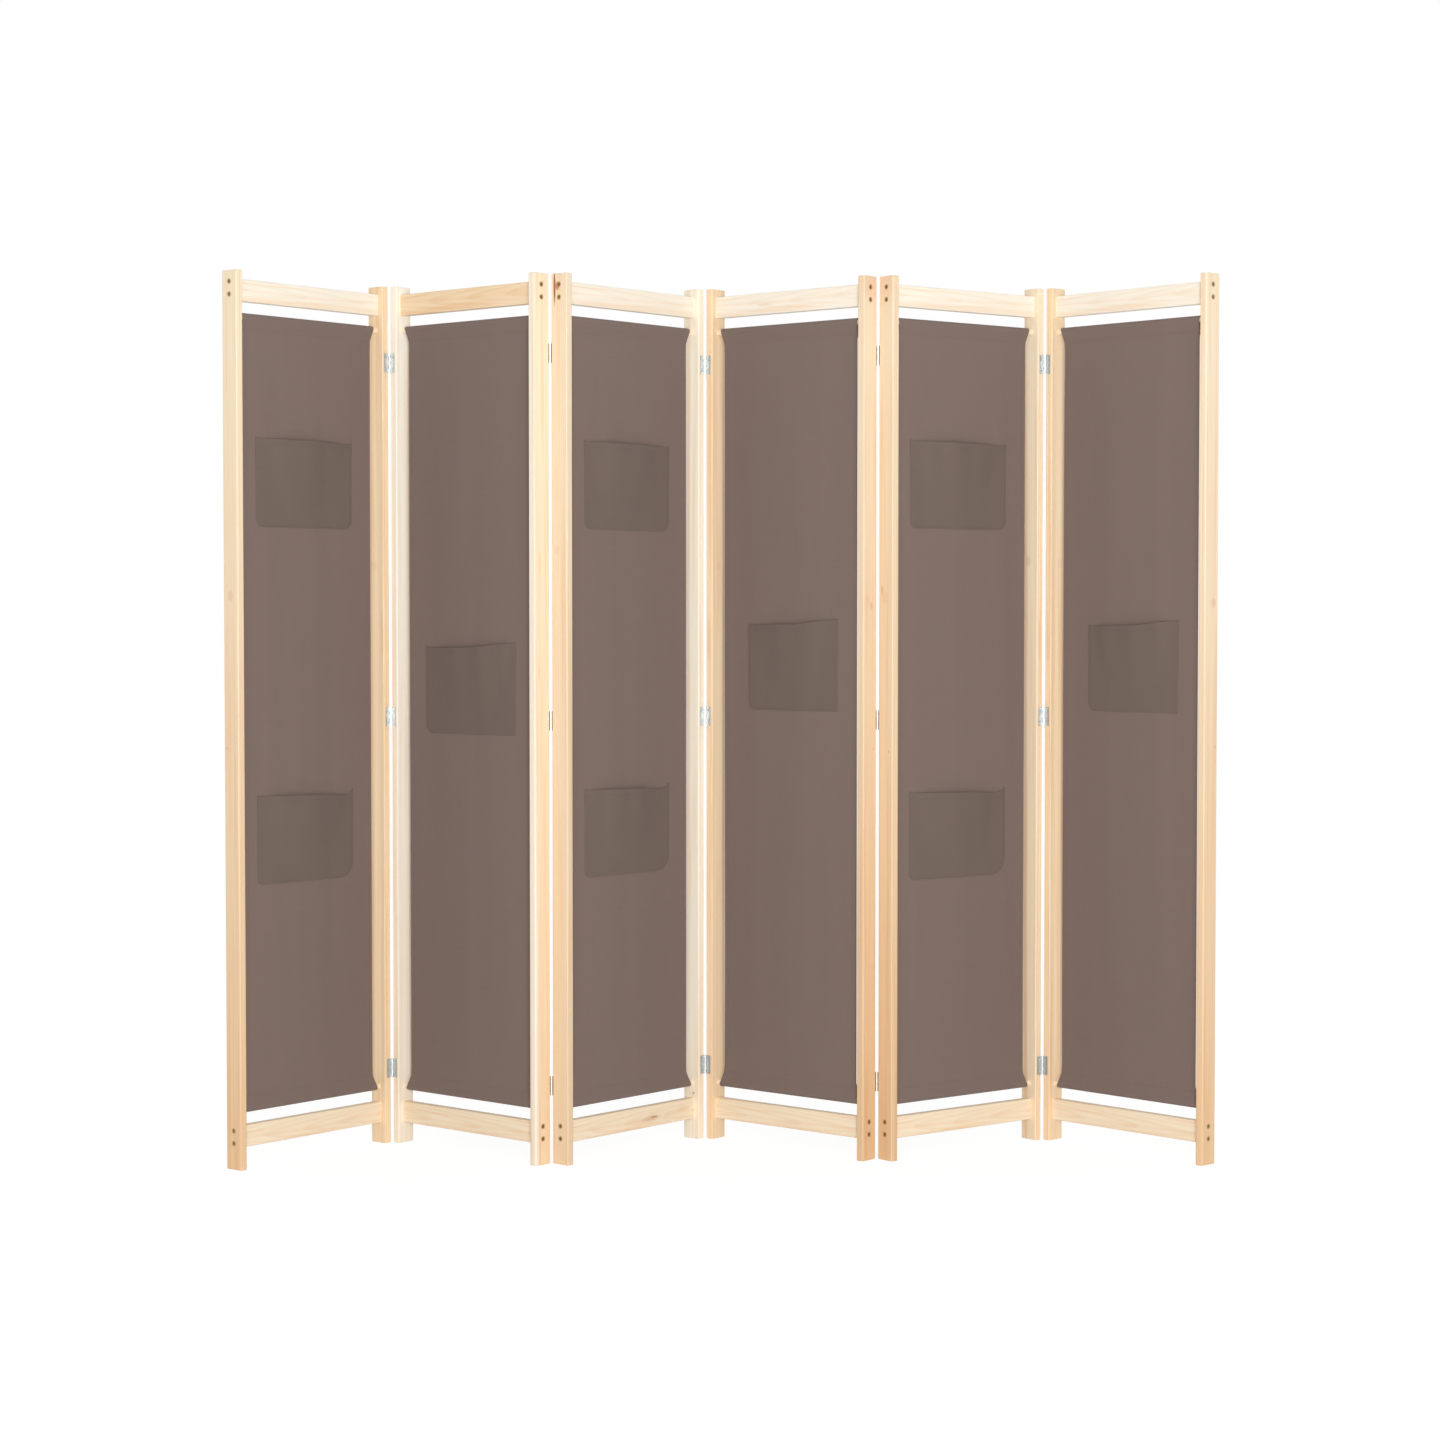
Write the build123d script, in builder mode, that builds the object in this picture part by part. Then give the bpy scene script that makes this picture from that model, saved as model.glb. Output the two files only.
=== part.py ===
"""Six-panel folding screen of pine frames, stretched cloth and butt hinges, in millimetres.

The screen stands in a zigzag on the floor, z = 0. Each panel has its own local frame: u runs along the
panel from its left end, depth runs from its front face to its back, and z goes up.
"""

import os
from math import atan2, cos, radians, sin

from build123d import *

os.makedirs("parts", exist_ok=True)

# Whole screen
PANELS = 6
HEIGHT = 1700.0
PANEL_WIDTH = 398.0
HINGE_GAP = 3.0
HEADINGS = [50.9, -41.0, 49.5, -40.4, 37.9, -46.8]  # degrees from +X, as the screen is set up

# Stiles and rails, planed pine
DEPTH = 40.0
STILE_WIDTH = 16.0
EDGE_RADIUS = 2.5
END_CHAMFER = 0.8
RAIL_THICKNESS = 16.0
RAIL_HEIGHT = 42.0
RAIL_EDGE_RADIUS = 2.0
TOP_RAIL_BASE = 1643.0
BOTTOM_RAIL_BASE = 41.0
INNER_WIDTH = PANEL_WIDTH - 2 * STILE_WIDTH
MID_DEPTH = DEPTH / 2
MID_U = PANEL_WIDTH / 2

# Dowels that carry the cloth
DOWEL_RADIUS = 6.0
DOWEL_HEIGHTS = (113.0, 1615.0)
SOCKET_RADIUS = DOWEL_RADIUS + 0.05
SOCKET_DEPTH = 10.0
DOWEL_END_PLAY = 0.5

# Cloth: one sheet with a sleeve round each dowel
CLOTH_THICKNESS = 1.0
SLEEVE_BORE = DOWEL_RADIUS + 0.2
SLEEVE_RADIUS = SLEEVE_BORE + 0.8
CLOTH_SIDE_GAP = 16.0
CLOTH_TOP_GAP = 10.0
CLOTH_BOTTOM_GAP = 7.0
TOP_FLARE = 45.0
BOTTOM_FLARE = 40.0
CLOTH_TOP = DOWEL_HEIGHTS[1] + SLEEVE_RADIUS
CLOTH_BOTTOM = DOWEL_HEIGHTS[0] - SLEEVE_RADIUS
CLOTH_FRONT = MID_DEPTH - CLOTH_THICKNESS / 2

# Pockets, for each panel: heights of their bottom seams, their middle along u and their width
POCKET_SEATS = [(1220.0, 537.0), (820.0,), (1217.0, 546.0), (865.0,), (1220.0, 538.0), (863.0,)]
POCKET_MIDDLES = [189.0, 203.0, 192.0, 207.0, 187.0, 208.0]
POCKET_WIDTHS = [250.0, 247.0, 244.0, 223.0, 252.0, 222.0]
POCKET_HEIGHT = 170.0
POCKET_THICKNESS = 1.0
POCKET_CORNER = 16.0
POCKET_GAPE = 10.0
POCKET_SEAM = 9.0
POCKET_MOUTH_SAG = 3.0

# Countersunk screws through the stiles into the rails
FRAME_SCREW_LENGTH = 45.0
FRAME_SCREW_RADIUS = 2.0
FRAME_HEAD_RADIUS = 3.75
FRAME_HEAD_SINK = 0.6
FRAME_SCREW_SPREAD = 12.0
TOP_SCREW_LIFT = 3.0
SCREW_CLEARANCE = 0.1

# Butt hinges
HINGE_HEIGHTS = (150.0, 850.0, 1550.0)
LEAF_HEIGHT = 37.0
LEAF_WIDTH = 10.0
LEAF_THICKNESS = 1.2
AXIS_PROUD = 1.5
KNUCKLES = 5
KNUCKLE_RADIUS = 2.5
KNUCKLE_GAP = 0.2
PIN_RADIUS = 1.2
PIN_CLEARANCE = 0.05
PIN_HEAD_RADIUS = 1.7
PIN_HEAD_HEIGHT = 0.5
NOTCH = KNUCKLE_RADIUS + 0.3
HINGE_SCREW_LENGTH = 12.0
HINGE_SCREW_RADIUS = 1.5
HINGE_HEAD_RADIUS = 2.7
HINGE_SCREW_SPREAD = 11.0
HINGE_SCREW_REACH = 8.0  # from the hinge axis to the screw's axis

# Screw details shared by both kinds
TIP_SHARE = 0.2
RECESS_WIDTH = 0.28  # of the head's radius
RECESS_SPAN = 1.2
RECESS_DEPTH = 0.5
COUNTERSINK_ANGLE = 90.0

LEFT = -1
RIGHT = 1
FRONT = 1
BACK = -1


def along(panel):
    """Unit vector from the panel's left end to its right end."""
    heading = radians(HEADINGS[panel])
    return Vector(cos(heading), sin(heading), 0)


def forward(panel):
    """Unit vector out of the panel's front face."""
    heading = radians(HEADINGS[panel])
    return Vector(sin(heading), -cos(heading), 0)


def hinge_face(joint):
    """Face that the hinges of a joint lie on: front at the first, third and fifth."""
    return FRONT if joint % 2 == 0 else BACK


def axis_depth(face):
    """Depth of a hinge axis, which stands proud of the face that its leaves lie on."""
    return -AXIS_PROUD if face == FRONT else DEPTH + AXIS_PROUD


def chain_corners():
    """Front left corner of each panel, following the hinge axes from the first panel on."""
    corners = [Vector(0, 0, 0)]
    for joint in range(PANELS - 1):
        depth = axis_depth(hinge_face(joint))
        reach = PANEL_WIDTH + HINGE_GAP / 2
        axis = corners[joint] + along(joint) * reach - forward(joint) * depth
        following = joint + 1
        corners.append(axis + along(following) * (HINGE_GAP / 2) + forward(following) * depth)
    return corners


def plan_centre(corners):
    """Middle of the screen's plan, found from the rounded corners of every panel."""
    spots = []
    for panel, corner in enumerate(corners):
        for u in (EDGE_RADIUS, PANEL_WIDTH - EDGE_RADIUS):
            for depth in (EDGE_RADIUS, DEPTH - EDGE_RADIUS):
                spots.append(corner + along(panel) * u - forward(panel) * depth)
    across = [spot.X for spot in spots]
    back = [spot.Y for spot in spots]
    return Vector((min(across) + max(across)) / 2, (min(back) + max(back)) / 2, 0)


CORNERS = [corner - plan_centre(chain_corners()) for corner in chain_corners()]


def spot(panel, u, depth, z):
    """Point of the model at a panel's own u, depth and z."""
    return CORNERS[panel] + along(panel) * u - forward(panel) * depth + Vector(0, 0, z)


def plan_plane(panel, z):
    """Plane seen from above: x is u, y is depth."""
    return Plane(spot(panel, 0, 0, z), x_dir=along(panel), z_dir=(0, 0, 1))


def front_plane(panel, depth):
    """Plane seen from the front: x is u, y is z."""
    return Plane(spot(panel, 0, depth, 0), x_dir=along(panel), z_dir=forward(panel))


def side_plane(panel, u, side):
    """Plane across the panel at the middle of its depth, facing left or right: y is z."""
    return Plane(spot(panel, u, MID_DEPTH, 0), x_dir=forward(panel) * -side, z_dir=along(panel) * side)


def rail_screw_heights():
    """Heights of the screws that hold the two rails."""
    bottom = BOTTOM_RAIL_BASE + RAIL_HEIGHT / 2
    top = TOP_RAIL_BASE + RAIL_HEIGHT / 2 + TOP_SCREW_LIFT
    return [
        bottom - FRAME_SCREW_SPREAD,
        bottom + FRAME_SCREW_SPREAD,
        top - FRAME_SCREW_SPREAD,
        top + FRAME_SCREW_SPREAD,
    ]


def hinge_ends(panel):
    """Ends of a panel that carry hinge leaves, each as its side and face."""
    ends = []
    if panel > 0:
        ends.append((LEFT, hinge_face(panel - 1)))
    if panel < PANELS - 1:
        ends.append((RIGHT, hinge_face(panel)))
    return ends


def hinge_axis(panel, side, face):
    """Foot of the hinge axis at one end of a panel."""
    u = PANEL_WIDTH + HINGE_GAP / 2 if side == RIGHT else -HINGE_GAP / 2
    return spot(panel, u, axis_depth(face), 0)


def leaf_plane(panel, side, face, z):
    """Plane seen from above on a hinge axis, with x running into the panel."""
    origin = hinge_axis(panel, side, face) + Vector(0, 0, z)
    return Plane(origin, x_dir=along(panel) * -side, z_dir=(0, 0, 1))


def leaf_screw_planes(panel, side, face):
    """Planes on a leaf's outer face, one at each screw, facing out of the wood."""
    planes = []
    outward = forward(panel) * face
    inward = along(panel) * -side
    for height in HINGE_HEIGHTS:
        for rise in (-HINGE_SCREW_SPREAD, HINGE_SCREW_SPREAD):
            centre = hinge_axis(panel, side, face) + inward * HINGE_SCREW_REACH
            centre += outward * (LEAF_THICKNESS - AXIS_PROUD) + Vector(0, 0, height + rise)
            planes.append(Plane(centre, x_dir=(0, 0, 1), z_dir=outward))
    return planes


def frame_screw_planes(panel, side):
    """Planes at the sunk heads of the rail screws in one stile, facing out of the wood."""
    u = FRAME_HEAD_SINK if side == LEFT else PANEL_WIDTH - FRAME_HEAD_SINK
    outward = along(panel) * side
    planes = []
    for height in rail_screw_heights():
        planes.append(Plane(spot(panel, u, MID_DEPTH, height), x_dir=(0, 0, 1), z_dir=outward))
    return planes


def keep(builder, name):
    """Label a finished sub-part and write it as a STEP file."""
    builder.part.label = name
    export_step(builder.part, f"parts/{name}.step")


def make_screw(length, radius, head_radius):
    """Countersunk wood screw pointing down, the top of its head at the origin."""
    head_depth = head_radius - radius
    tip_length = length * TIP_SHARE
    with BuildPart() as screw:
        with BuildSketch(Plane.XZ):
            with BuildLine():
                Polyline(
                    (0, 0),
                    (head_radius, 0),
                    (radius, -head_depth),
                    (radius, tip_length - length),
                    (0, -length),
                    close=True,
                )
            make_face()
        revolve(axis=Axis.Z)
        with BuildSketch(Plane.XY):
            Rectangle(head_radius * RECESS_SPAN, head_radius * RECESS_WIDTH)
            Rectangle(head_radius * RECESS_WIDTH, head_radius * RECESS_SPAN)
        extrude(amount=-head_radius * RECESS_DEPTH, mode=Mode.SUBTRACT)
    return screw.part


def make_stile(panel, side, name):
    """Upright board with rounded edges, dowel sockets, screw holes and hinge pilot holes."""
    outer_u = 0 if side == LEFT else PANEL_WIDTH
    inner_u = outer_u - side * STILE_WIDTH
    with BuildPart() as stile:
        with BuildSketch(plan_plane(panel, 0)):
            with Locations((outer_u - side * STILE_WIDTH / 2, MID_DEPTH)):
                RectangleRounded(STILE_WIDTH, DEPTH, EDGE_RADIUS)
        extrude(amount=HEIGHT)
        ends = stile.faces().filter_by(Plane.XY)
        chamfer(ends.edges(), END_CHAMFER)
        with BuildSketch(side_plane(panel, inner_u, -side)):
            with Locations(*[(0, height) for height in DOWEL_HEIGHTS]):
                Circle(SOCKET_RADIUS)
        extrude(amount=-SOCKET_DEPTH, mode=Mode.SUBTRACT)
        with Locations(side_plane(panel, outer_u, side)):
            with Locations(*[(0, height) for height in rail_screw_heights()]):
                CounterSinkHole(
                    FRAME_SCREW_RADIUS + SCREW_CLEARANCE,
                    FRAME_HEAD_RADIUS + FRAME_HEAD_SINK + SCREW_CLEARANCE,
                    depth=STILE_WIDTH,
                    counter_sink_angle=COUNTERSINK_ANGLE,
                )
        for end_side, face in hinge_ends(panel):
            if end_side == side:
                with Locations(*leaf_screw_planes(panel, side, face)):
                    Hole(HINGE_SCREW_RADIUS + SCREW_CLEARANCE, depth=HINGE_SCREW_LENGTH + SCREW_CLEARANCE)
    keep(stile, name)


def make_rail(panel, base, screw_heights, name):
    """Cross board butted between the stiles, with a pilot hole for each screw."""
    pilot_depth = FRAME_SCREW_LENGTH + FRAME_HEAD_SINK - STILE_WIDTH + SCREW_CLEARANCE
    with BuildPart() as rail:
        with BuildSketch(side_plane(panel, STILE_WIDTH, RIGHT)):
            with Locations((0, base + RAIL_HEIGHT / 2)):
                RectangleRounded(RAIL_THICKNESS, RAIL_HEIGHT, RAIL_EDGE_RADIUS)
        extrude(amount=INNER_WIDTH)
        for side, u in ((LEFT, STILE_WIDTH), (RIGHT, PANEL_WIDTH - STILE_WIDTH)):
            with Locations(side_plane(panel, u, side)):
                with Locations(*[(0, height) for height in screw_heights]):
                    Hole(FRAME_SCREW_RADIUS + SCREW_CLEARANCE, depth=pilot_depth)
    keep(rail, name)


def make_dowels(panel, name):
    """Two round rods, held in the stiles' sockets, that carry the cloth."""
    overlap = SOCKET_DEPTH - DOWEL_END_PLAY
    with BuildPart() as dowels:
        with BuildSketch(side_plane(panel, STILE_WIDTH - overlap, RIGHT)):
            with Locations(*[(0, height) for height in DOWEL_HEIGHTS]):
                Circle(DOWEL_RADIUS)
        extrude(amount=INNER_WIDTH + 2 * overlap)
        chamfer(dowels.edges().filter_by(GeomType.CIRCLE), END_CHAMFER)
    keep(dowels, name)


def make_fabric(panel, name):
    """Stretched sheet that ends in a sleeve round each dowel and flares out at its corners."""
    waist = INNER_WIDTH / 2 - CLOTH_SIDE_GAP
    top_corner = INNER_WIDTH / 2 - CLOTH_TOP_GAP
    bottom_corner = INNER_WIDTH / 2 - CLOTH_BOTTOM_GAP
    with BuildPart() as fabric:
        with BuildSketch(side_plane(panel, STILE_WIDTH, RIGHT)):
            with Locations((0, sum(DOWEL_HEIGHTS) / 2)):
                Rectangle(CLOTH_THICKNESS, DOWEL_HEIGHTS[1] - DOWEL_HEIGHTS[0])
            with Locations(*[(0, height) for height in DOWEL_HEIGHTS]):
                Circle(SLEEVE_RADIUS)
                Circle(SLEEVE_BORE, mode=Mode.SUBTRACT)
        extrude(amount=INNER_WIDTH)
        with BuildSketch(Plane(spot(panel, MID_U, MID_DEPTH, 0), x_dir=along(panel), z_dir=forward(panel))):
            with BuildLine():
                Line((0, CLOTH_BOTTOM), (bottom_corner, CLOTH_BOTTOM))
                Spline(
                    (bottom_corner, CLOTH_BOTTOM),
                    (waist, CLOTH_BOTTOM + BOTTOM_FLARE),
                    tangents=[(-0.3, 1), (0, 1)],
                )
                Line((waist, CLOTH_BOTTOM + BOTTOM_FLARE), (waist, CLOTH_TOP - TOP_FLARE))
                Spline(
                    (waist, CLOTH_TOP - TOP_FLARE),
                    (top_corner, CLOTH_TOP),
                    tangents=[(0, 1), (0.3, 1)],
                )
                Line((top_corner, CLOTH_TOP), (0, CLOTH_TOP))
                mirror(about=Plane.YZ)
            make_face()
        extrude(amount=DEPTH / 2, both=True, mode=Mode.INTERSECT)
    keep(fabric, name)


def bulge_radius(panel):
    """Radius of the cylinder that the walls of a panel's pockets follow."""
    reach = POCKET_WIDTHS[panel] / 2 - POCKET_SEAM
    return (reach**2 + POCKET_GAPE**2) / (2 * POCKET_GAPE)


def bulge_plane(panel, seat):
    """Plane across the leaning cylinder that a pocket's wall follows, at the height of its mouth."""
    lean = atan2(POCKET_GAPE, POCKET_HEIGHT - POCKET_SEAM)
    up = Vector(0, 0, 1)
    rising = up * cos(lean) + forward(panel) * sin(lean)
    inward = up * sin(lean) - forward(panel) * cos(lean)
    crest = spot(panel, POCKET_MIDDLES[panel], CLOTH_FRONT - POCKET_GAPE, seat + POCKET_HEIGHT)
    return Plane(crest + inward * bulge_radius(panel), x_dir=along(panel), z_dir=rising)


def pocket_outline(panel, seat):
    """Outline of a pocket from the front: rounded lower corners and a sagging mouth."""
    middle = POCKET_MIDDLES[panel]
    left = middle - POCKET_WIDTHS[panel] / 2
    right = middle + POCKET_WIDTHS[panel] / 2
    top = seat + POCKET_HEIGHT
    with BuildSketch(Plane.XY) as outline:
        with BuildLine():
            Line((left + POCKET_CORNER, seat), (right - POCKET_CORNER, seat))
            RadiusArc((right - POCKET_CORNER, seat), (right, seat + POCKET_CORNER), -POCKET_CORNER)
            Line((right, seat + POCKET_CORNER), (right, top))
            ThreePointArc((right, top), (middle, top - POCKET_MOUTH_SAG), (left, top))
            Line((left, top), (left, seat + POCKET_CORNER))
            RadiusArc((left, seat + POCKET_CORNER), (left + POCKET_CORNER, seat), -POCKET_CORNER)
        make_face()
    return outline.sketch


def make_pocket(panel, seat):
    """Open-topped pocket: flat along its seams, with a wall that leans away from the sheet."""
    outline = pocket_outline(panel, seat)
    radius = bulge_radius(panel)
    with BuildPart() as pocket:
        with BuildSketch(bulge_plane(panel, seat)):
            Circle(radius + POCKET_THICKNESS)
        extrude(amount=2 * POCKET_HEIGHT, both=True)
        with BuildSketch(front_plane(panel, CLOTH_FRONT)):
            add(outline)
        extrude(amount=CLOTH_FRONT, mode=Mode.INTERSECT)
        with BuildSketch(front_plane(panel, CLOTH_FRONT)):
            add(outline)
        extrude(amount=POCKET_THICKNESS)
        with BuildSketch(bulge_plane(panel, seat)):
            Circle(radius)
        extrude(amount=2 * POCKET_HEIGHT, both=True, mode=Mode.SUBTRACT)
    return pocket.part


def make_pockets(panel, name):
    """Pockets sewn to the front of one sheet."""
    sewn = [make_pocket(panel, seat) for seat in POCKET_SEATS[panel]]
    with BuildPart() as pockets:
        for pocket in sewn:
            add(pocket)
    keep(pockets, name)


def make_screws(panel, frame_screw, hinge_screw, name):
    """Every screw of one panel: eight in the frame and two in each hinge leaf."""
    with BuildPart() as screws:
        for side in (LEFT, RIGHT):
            with Locations(*frame_screw_planes(panel, side)):
                add(frame_screw)
        for side, face in hinge_ends(panel):
            with Locations(*leaf_screw_planes(panel, side, face)):
                add(hinge_screw)
    keep(screws, name)


def knuckle_spans(side):
    """Height ranges of the knuckles on one side: the left panel has the odd ones."""
    pitch = LEAF_HEIGHT / KNUCKLES
    first = 0 if side == RIGHT else 1
    spans = []
    for index in range(first, KNUCKLES, 2):
        start = index * pitch - LEAF_HEIGHT / 2
        spans.append((start + KNUCKLE_GAP / 2, pitch - KNUCKLE_GAP))
    return spans


def make_hinge_leaves(panel, name):
    """Leaves on one panel, each a plate with knuckles round the hinge axis."""
    with BuildPart() as leaves:
        for side, face in hinge_ends(panel):
            plate_y = side * face * (LEAF_THICKNESS / 2 - AXIS_PROUD)
            for height in HINGE_HEIGHTS:
                with BuildSketch(leaf_plane(panel, side, face, height - LEAF_HEIGHT / 2)):
                    with Locations((NOTCH + LEAF_WIDTH / 2, plate_y)):
                        Rectangle(LEAF_WIDTH, LEAF_THICKNESS)
                extrude(amount=LEAF_HEIGHT)
                for start, length in knuckle_spans(side):
                    with BuildSketch(leaf_plane(panel, side, face, height + start)):
                        Circle(KNUCKLE_RADIUS)
                        with Locations((NOTCH / 2, plate_y)):
                            Rectangle(NOTCH, LEAF_THICKNESS)
                        Circle(PIN_RADIUS + PIN_CLEARANCE, mode=Mode.SUBTRACT)
                    extrude(amount=length)
            with Locations(*leaf_screw_planes(panel, side, face)):
                CounterSinkHole(
                    HINGE_SCREW_RADIUS + SCREW_CLEARANCE,
                    HINGE_HEAD_RADIUS + SCREW_CLEARANCE,
                    depth=LEAF_THICKNESS,
                    counter_sink_angle=COUNTERSINK_ANGLE,
                )
    keep(leaves, name)


def make_hinge_pins(joint, name):
    """Headed pins of the three hinges of one joint."""
    face = hinge_face(joint)
    with BuildPart() as pins:
        for height in HINGE_HEIGHTS:
            base = height - LEAF_HEIGHT / 2
            with BuildSketch(leaf_plane(joint, RIGHT, face, base - PIN_HEAD_HEIGHT)):
                Circle(PIN_RADIUS)
            extrude(amount=LEAF_HEIGHT + 2 * PIN_HEAD_HEIGHT)
            for head_base in (base - PIN_HEAD_HEIGHT, base + LEAF_HEIGHT):
                with BuildSketch(leaf_plane(joint, RIGHT, face, head_base)):
                    Circle(PIN_HEAD_RADIUS)
                extrude(amount=PIN_HEAD_HEIGHT)
    keep(pins, name)


FRAME_SCREW = make_screw(FRAME_SCREW_LENGTH, FRAME_SCREW_RADIUS, FRAME_HEAD_RADIUS)
HINGE_SCREW = make_screw(HINGE_SCREW_LENGTH, HINGE_SCREW_RADIUS, HINGE_HEAD_RADIUS)

for index in range(PANELS):
    number = index + 1
    heights = rail_screw_heights()
    make_stile(index, LEFT, f"stile_left_{number}")
    make_stile(index, RIGHT, f"stile_right_{number}")
    make_rail(index, TOP_RAIL_BASE, heights[2:], f"rail_top_{number}")
    make_rail(index, BOTTOM_RAIL_BASE, heights[:2], f"rail_bottom_{number}")
    make_dowels(index, f"dowels_{number}")
    make_fabric(index, f"fabric_{number}")
    make_pockets(index, f"pockets_{number}")
    make_screws(index, FRAME_SCREW, HINGE_SCREW, f"screws_{number}")
    make_hinge_leaves(index, f"hinge_leaves_{number}")

for index in range(PANELS - 1):
    make_hinge_pins(index, f"hinge_pins_{index + 1}_{index + 2}")
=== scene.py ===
"""Looks of a folding screen: six pine panels with stretched cloth, sewn pockets and butt hinges.

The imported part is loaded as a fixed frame, in metres. Its boards, dowels, hinges and screws keep their
meshes and get materials. Its cloths and pockets are replaced by sewn sheets. Each panel has its own
directions: along it from left to right, forward out of its front face, and up.
"""

from math import asin, cos, hypot, pi, radians, sin

import bpy
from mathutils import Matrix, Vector


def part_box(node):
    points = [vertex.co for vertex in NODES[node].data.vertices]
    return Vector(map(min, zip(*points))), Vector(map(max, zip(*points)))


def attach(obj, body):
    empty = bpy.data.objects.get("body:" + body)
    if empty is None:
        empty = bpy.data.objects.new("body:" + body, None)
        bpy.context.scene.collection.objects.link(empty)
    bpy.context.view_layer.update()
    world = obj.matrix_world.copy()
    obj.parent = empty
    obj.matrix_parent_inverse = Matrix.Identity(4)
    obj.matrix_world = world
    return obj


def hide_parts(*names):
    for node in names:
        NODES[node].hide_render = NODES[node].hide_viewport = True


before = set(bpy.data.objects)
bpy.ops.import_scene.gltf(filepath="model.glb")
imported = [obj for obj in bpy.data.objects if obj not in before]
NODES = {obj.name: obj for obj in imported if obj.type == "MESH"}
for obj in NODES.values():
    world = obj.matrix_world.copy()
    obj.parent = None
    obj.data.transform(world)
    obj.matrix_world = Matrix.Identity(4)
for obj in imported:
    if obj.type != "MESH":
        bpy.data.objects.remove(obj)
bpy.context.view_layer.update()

bl_info = {
    "name": "Fabric folding screen",
    "version": (1, 0, 0),
    "blender": (4, 5, 0),
    "location": "View3D > Sidebar > Screen",
    "description": "Dresses a folding screen of pine, cloth and hinges",
    "category": "Object",
}

PANELS = 6
MM = 0.001
LEFT, RIGHT = -1, 1
STILE_WIDTH = 16 * MM
DOWEL_RADIUS = 6 * MM
# From the middle of one layer of cloth to the middle of the next, as a multiple of the cloth's thickness
LAYER_STEP = 1.12


def linear(code):
    """Linear colour of an sRGB hex value such as 7D6C64."""
    out = []
    for place in (0, 2, 4):
        value = int(code[place:place + 2], 16) / 255
        out.append(value / 12.92 if value <= 0.04045 else ((value + 0.055) / 1.055) ** 2.4)
    return (*out, 1.0)


def smooth(value, low, high):
    """Share from 0 to 1 of the way from low to high, eased at both ends."""
    share = min(max((value - low) / (high - low), 0.0), 1.0)
    return share * share * (3 - 2 * share)


def spread(low, high, count):
    """Evenly spaced numbers from low to high, both included."""
    return [low + (high - low) * step / (count - 1) for step in range(count)]


def middle_of(node):
    """Middle of a node's box."""
    low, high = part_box(node)
    return (low + high) / 2


class PanelPlace:
    """Where one panel stands: its directions, its middle and the heights of its dowels and pockets."""

    def __init__(self, number):
        left, right = (middle_of(f"stile_{side}_{number}") for side in ("left", "right"))
        run = right - left
        run.z = 0
        self.number = number
        self.along = run.normalized()
        self.forward = Vector((self.along.y, -self.along.x, 0))
        self.middle = (left + right) / 2
        self.middle.z = 0
        self.half_inside = (run.length - STILE_WIDTH) / 2
        low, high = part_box(f"dowels_{number}")
        self.dowels = low.z + DOWEL_RADIUS, high.z - DOWEL_RADIUS
        low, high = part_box(f"pockets_{number}")
        self.pocket_middle = ((low + high) / 2 - self.middle).dot(self.along)
        self.pocket_width = (high.x - low.x - abs(self.forward.x) * MM) / self.along.x

    def at(self, across, ahead, up):
        """Point across the panel from its middle, ahead of its mid-depth and up from the floor."""
        return self.middle + self.along * across + self.forward * ahead + Vector((0, 0, up))

    def pocket_seats(self, height):
        """Heights of the bottom seams of the panel's pockets, from the top one down."""
        low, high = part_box(f"pockets_{self.number}")
        if high.z - low.z > 2 * height:
            return [high.z - height, low.z]
        return [low.z]


PLACES = [PanelPlace(number) for number in range(1, PANELS + 1)]


class ClothSizes(bpy.types.PropertyGroup):
    """Sizes and colours of the stretched cloths."""

    thickness: bpy.props.FloatProperty(
        name="Thickness", description="Thickness of one layer of cloth", default=0.5 * MM,
        min=0.1 * MM, max=2 * MM, unit="LENGTH", precision=5)
    side_gap: bpy.props.FloatProperty(
        name="Side gap", description="Gap between the cloth's edge and the stile at its waist",
        default=16 * MM, unit="LENGTH", precision=4)
    top_gap: bpy.props.FloatProperty(
        name="Top gap", description="Gap between the ends of the top sleeve and the stiles",
        default=10 * MM, unit="LENGTH", precision=4)
    bottom_gap: bpy.props.FloatProperty(
        name="Bottom gap", description="Gap between the ends of the bottom sleeve and the stiles",
        default=7 * MM, unit="LENGTH", precision=4)
    top_flare: bpy.props.FloatProperty(
        name="Top flare", description="Height over which the cloth widens to its top corners",
        default=45 * MM, unit="LENGTH", precision=4)
    bottom_flare: bpy.props.FloatProperty(
        name="Bottom flare", description="Height over which the cloth widens to its bottom corners",
        default=40 * MM, unit="LENGTH", precision=4)
    sleeve_radius: bpy.props.FloatProperty(
        name="Sleeve radius", description="Radius of the cloth's mid-thickness round a dowel",
        default=6.9 * MM, unit="LENGTH", precision=5)
    sleeve_drop: bpy.props.FloatProperty(
        name="Sleeve drop", description="Distance from a dowel's middle to the seam of its sleeve",
        default=23.5 * MM, unit="LENGTH", precision=4)
    sleeve_hem: bpy.props.FloatProperty(
        name="Sleeve hem", description="Cloth beyond the seam of a sleeve, on the back",
        default=7 * MM, unit="LENGTH", precision=4)
    side_hem: bpy.props.FloatProperty(
        name="Side hem", description="Width of the hem folded to the back at each side",
        default=10 * MM, unit="LENGTH", precision=4)
    ripple: bpy.props.FloatProperty(
        name="Ripple", description="Height of the faint upright waves in the stretched cloth",
        default=0.6 * MM, unit="LENGTH", precision=5)
    colour: bpy.props.FloatVectorProperty(
        name="Colour", description="Colour of the dyed cloth", subtype="COLOR", size=4, min=0, max=1,
        default=linear("7D6C64"))


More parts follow.
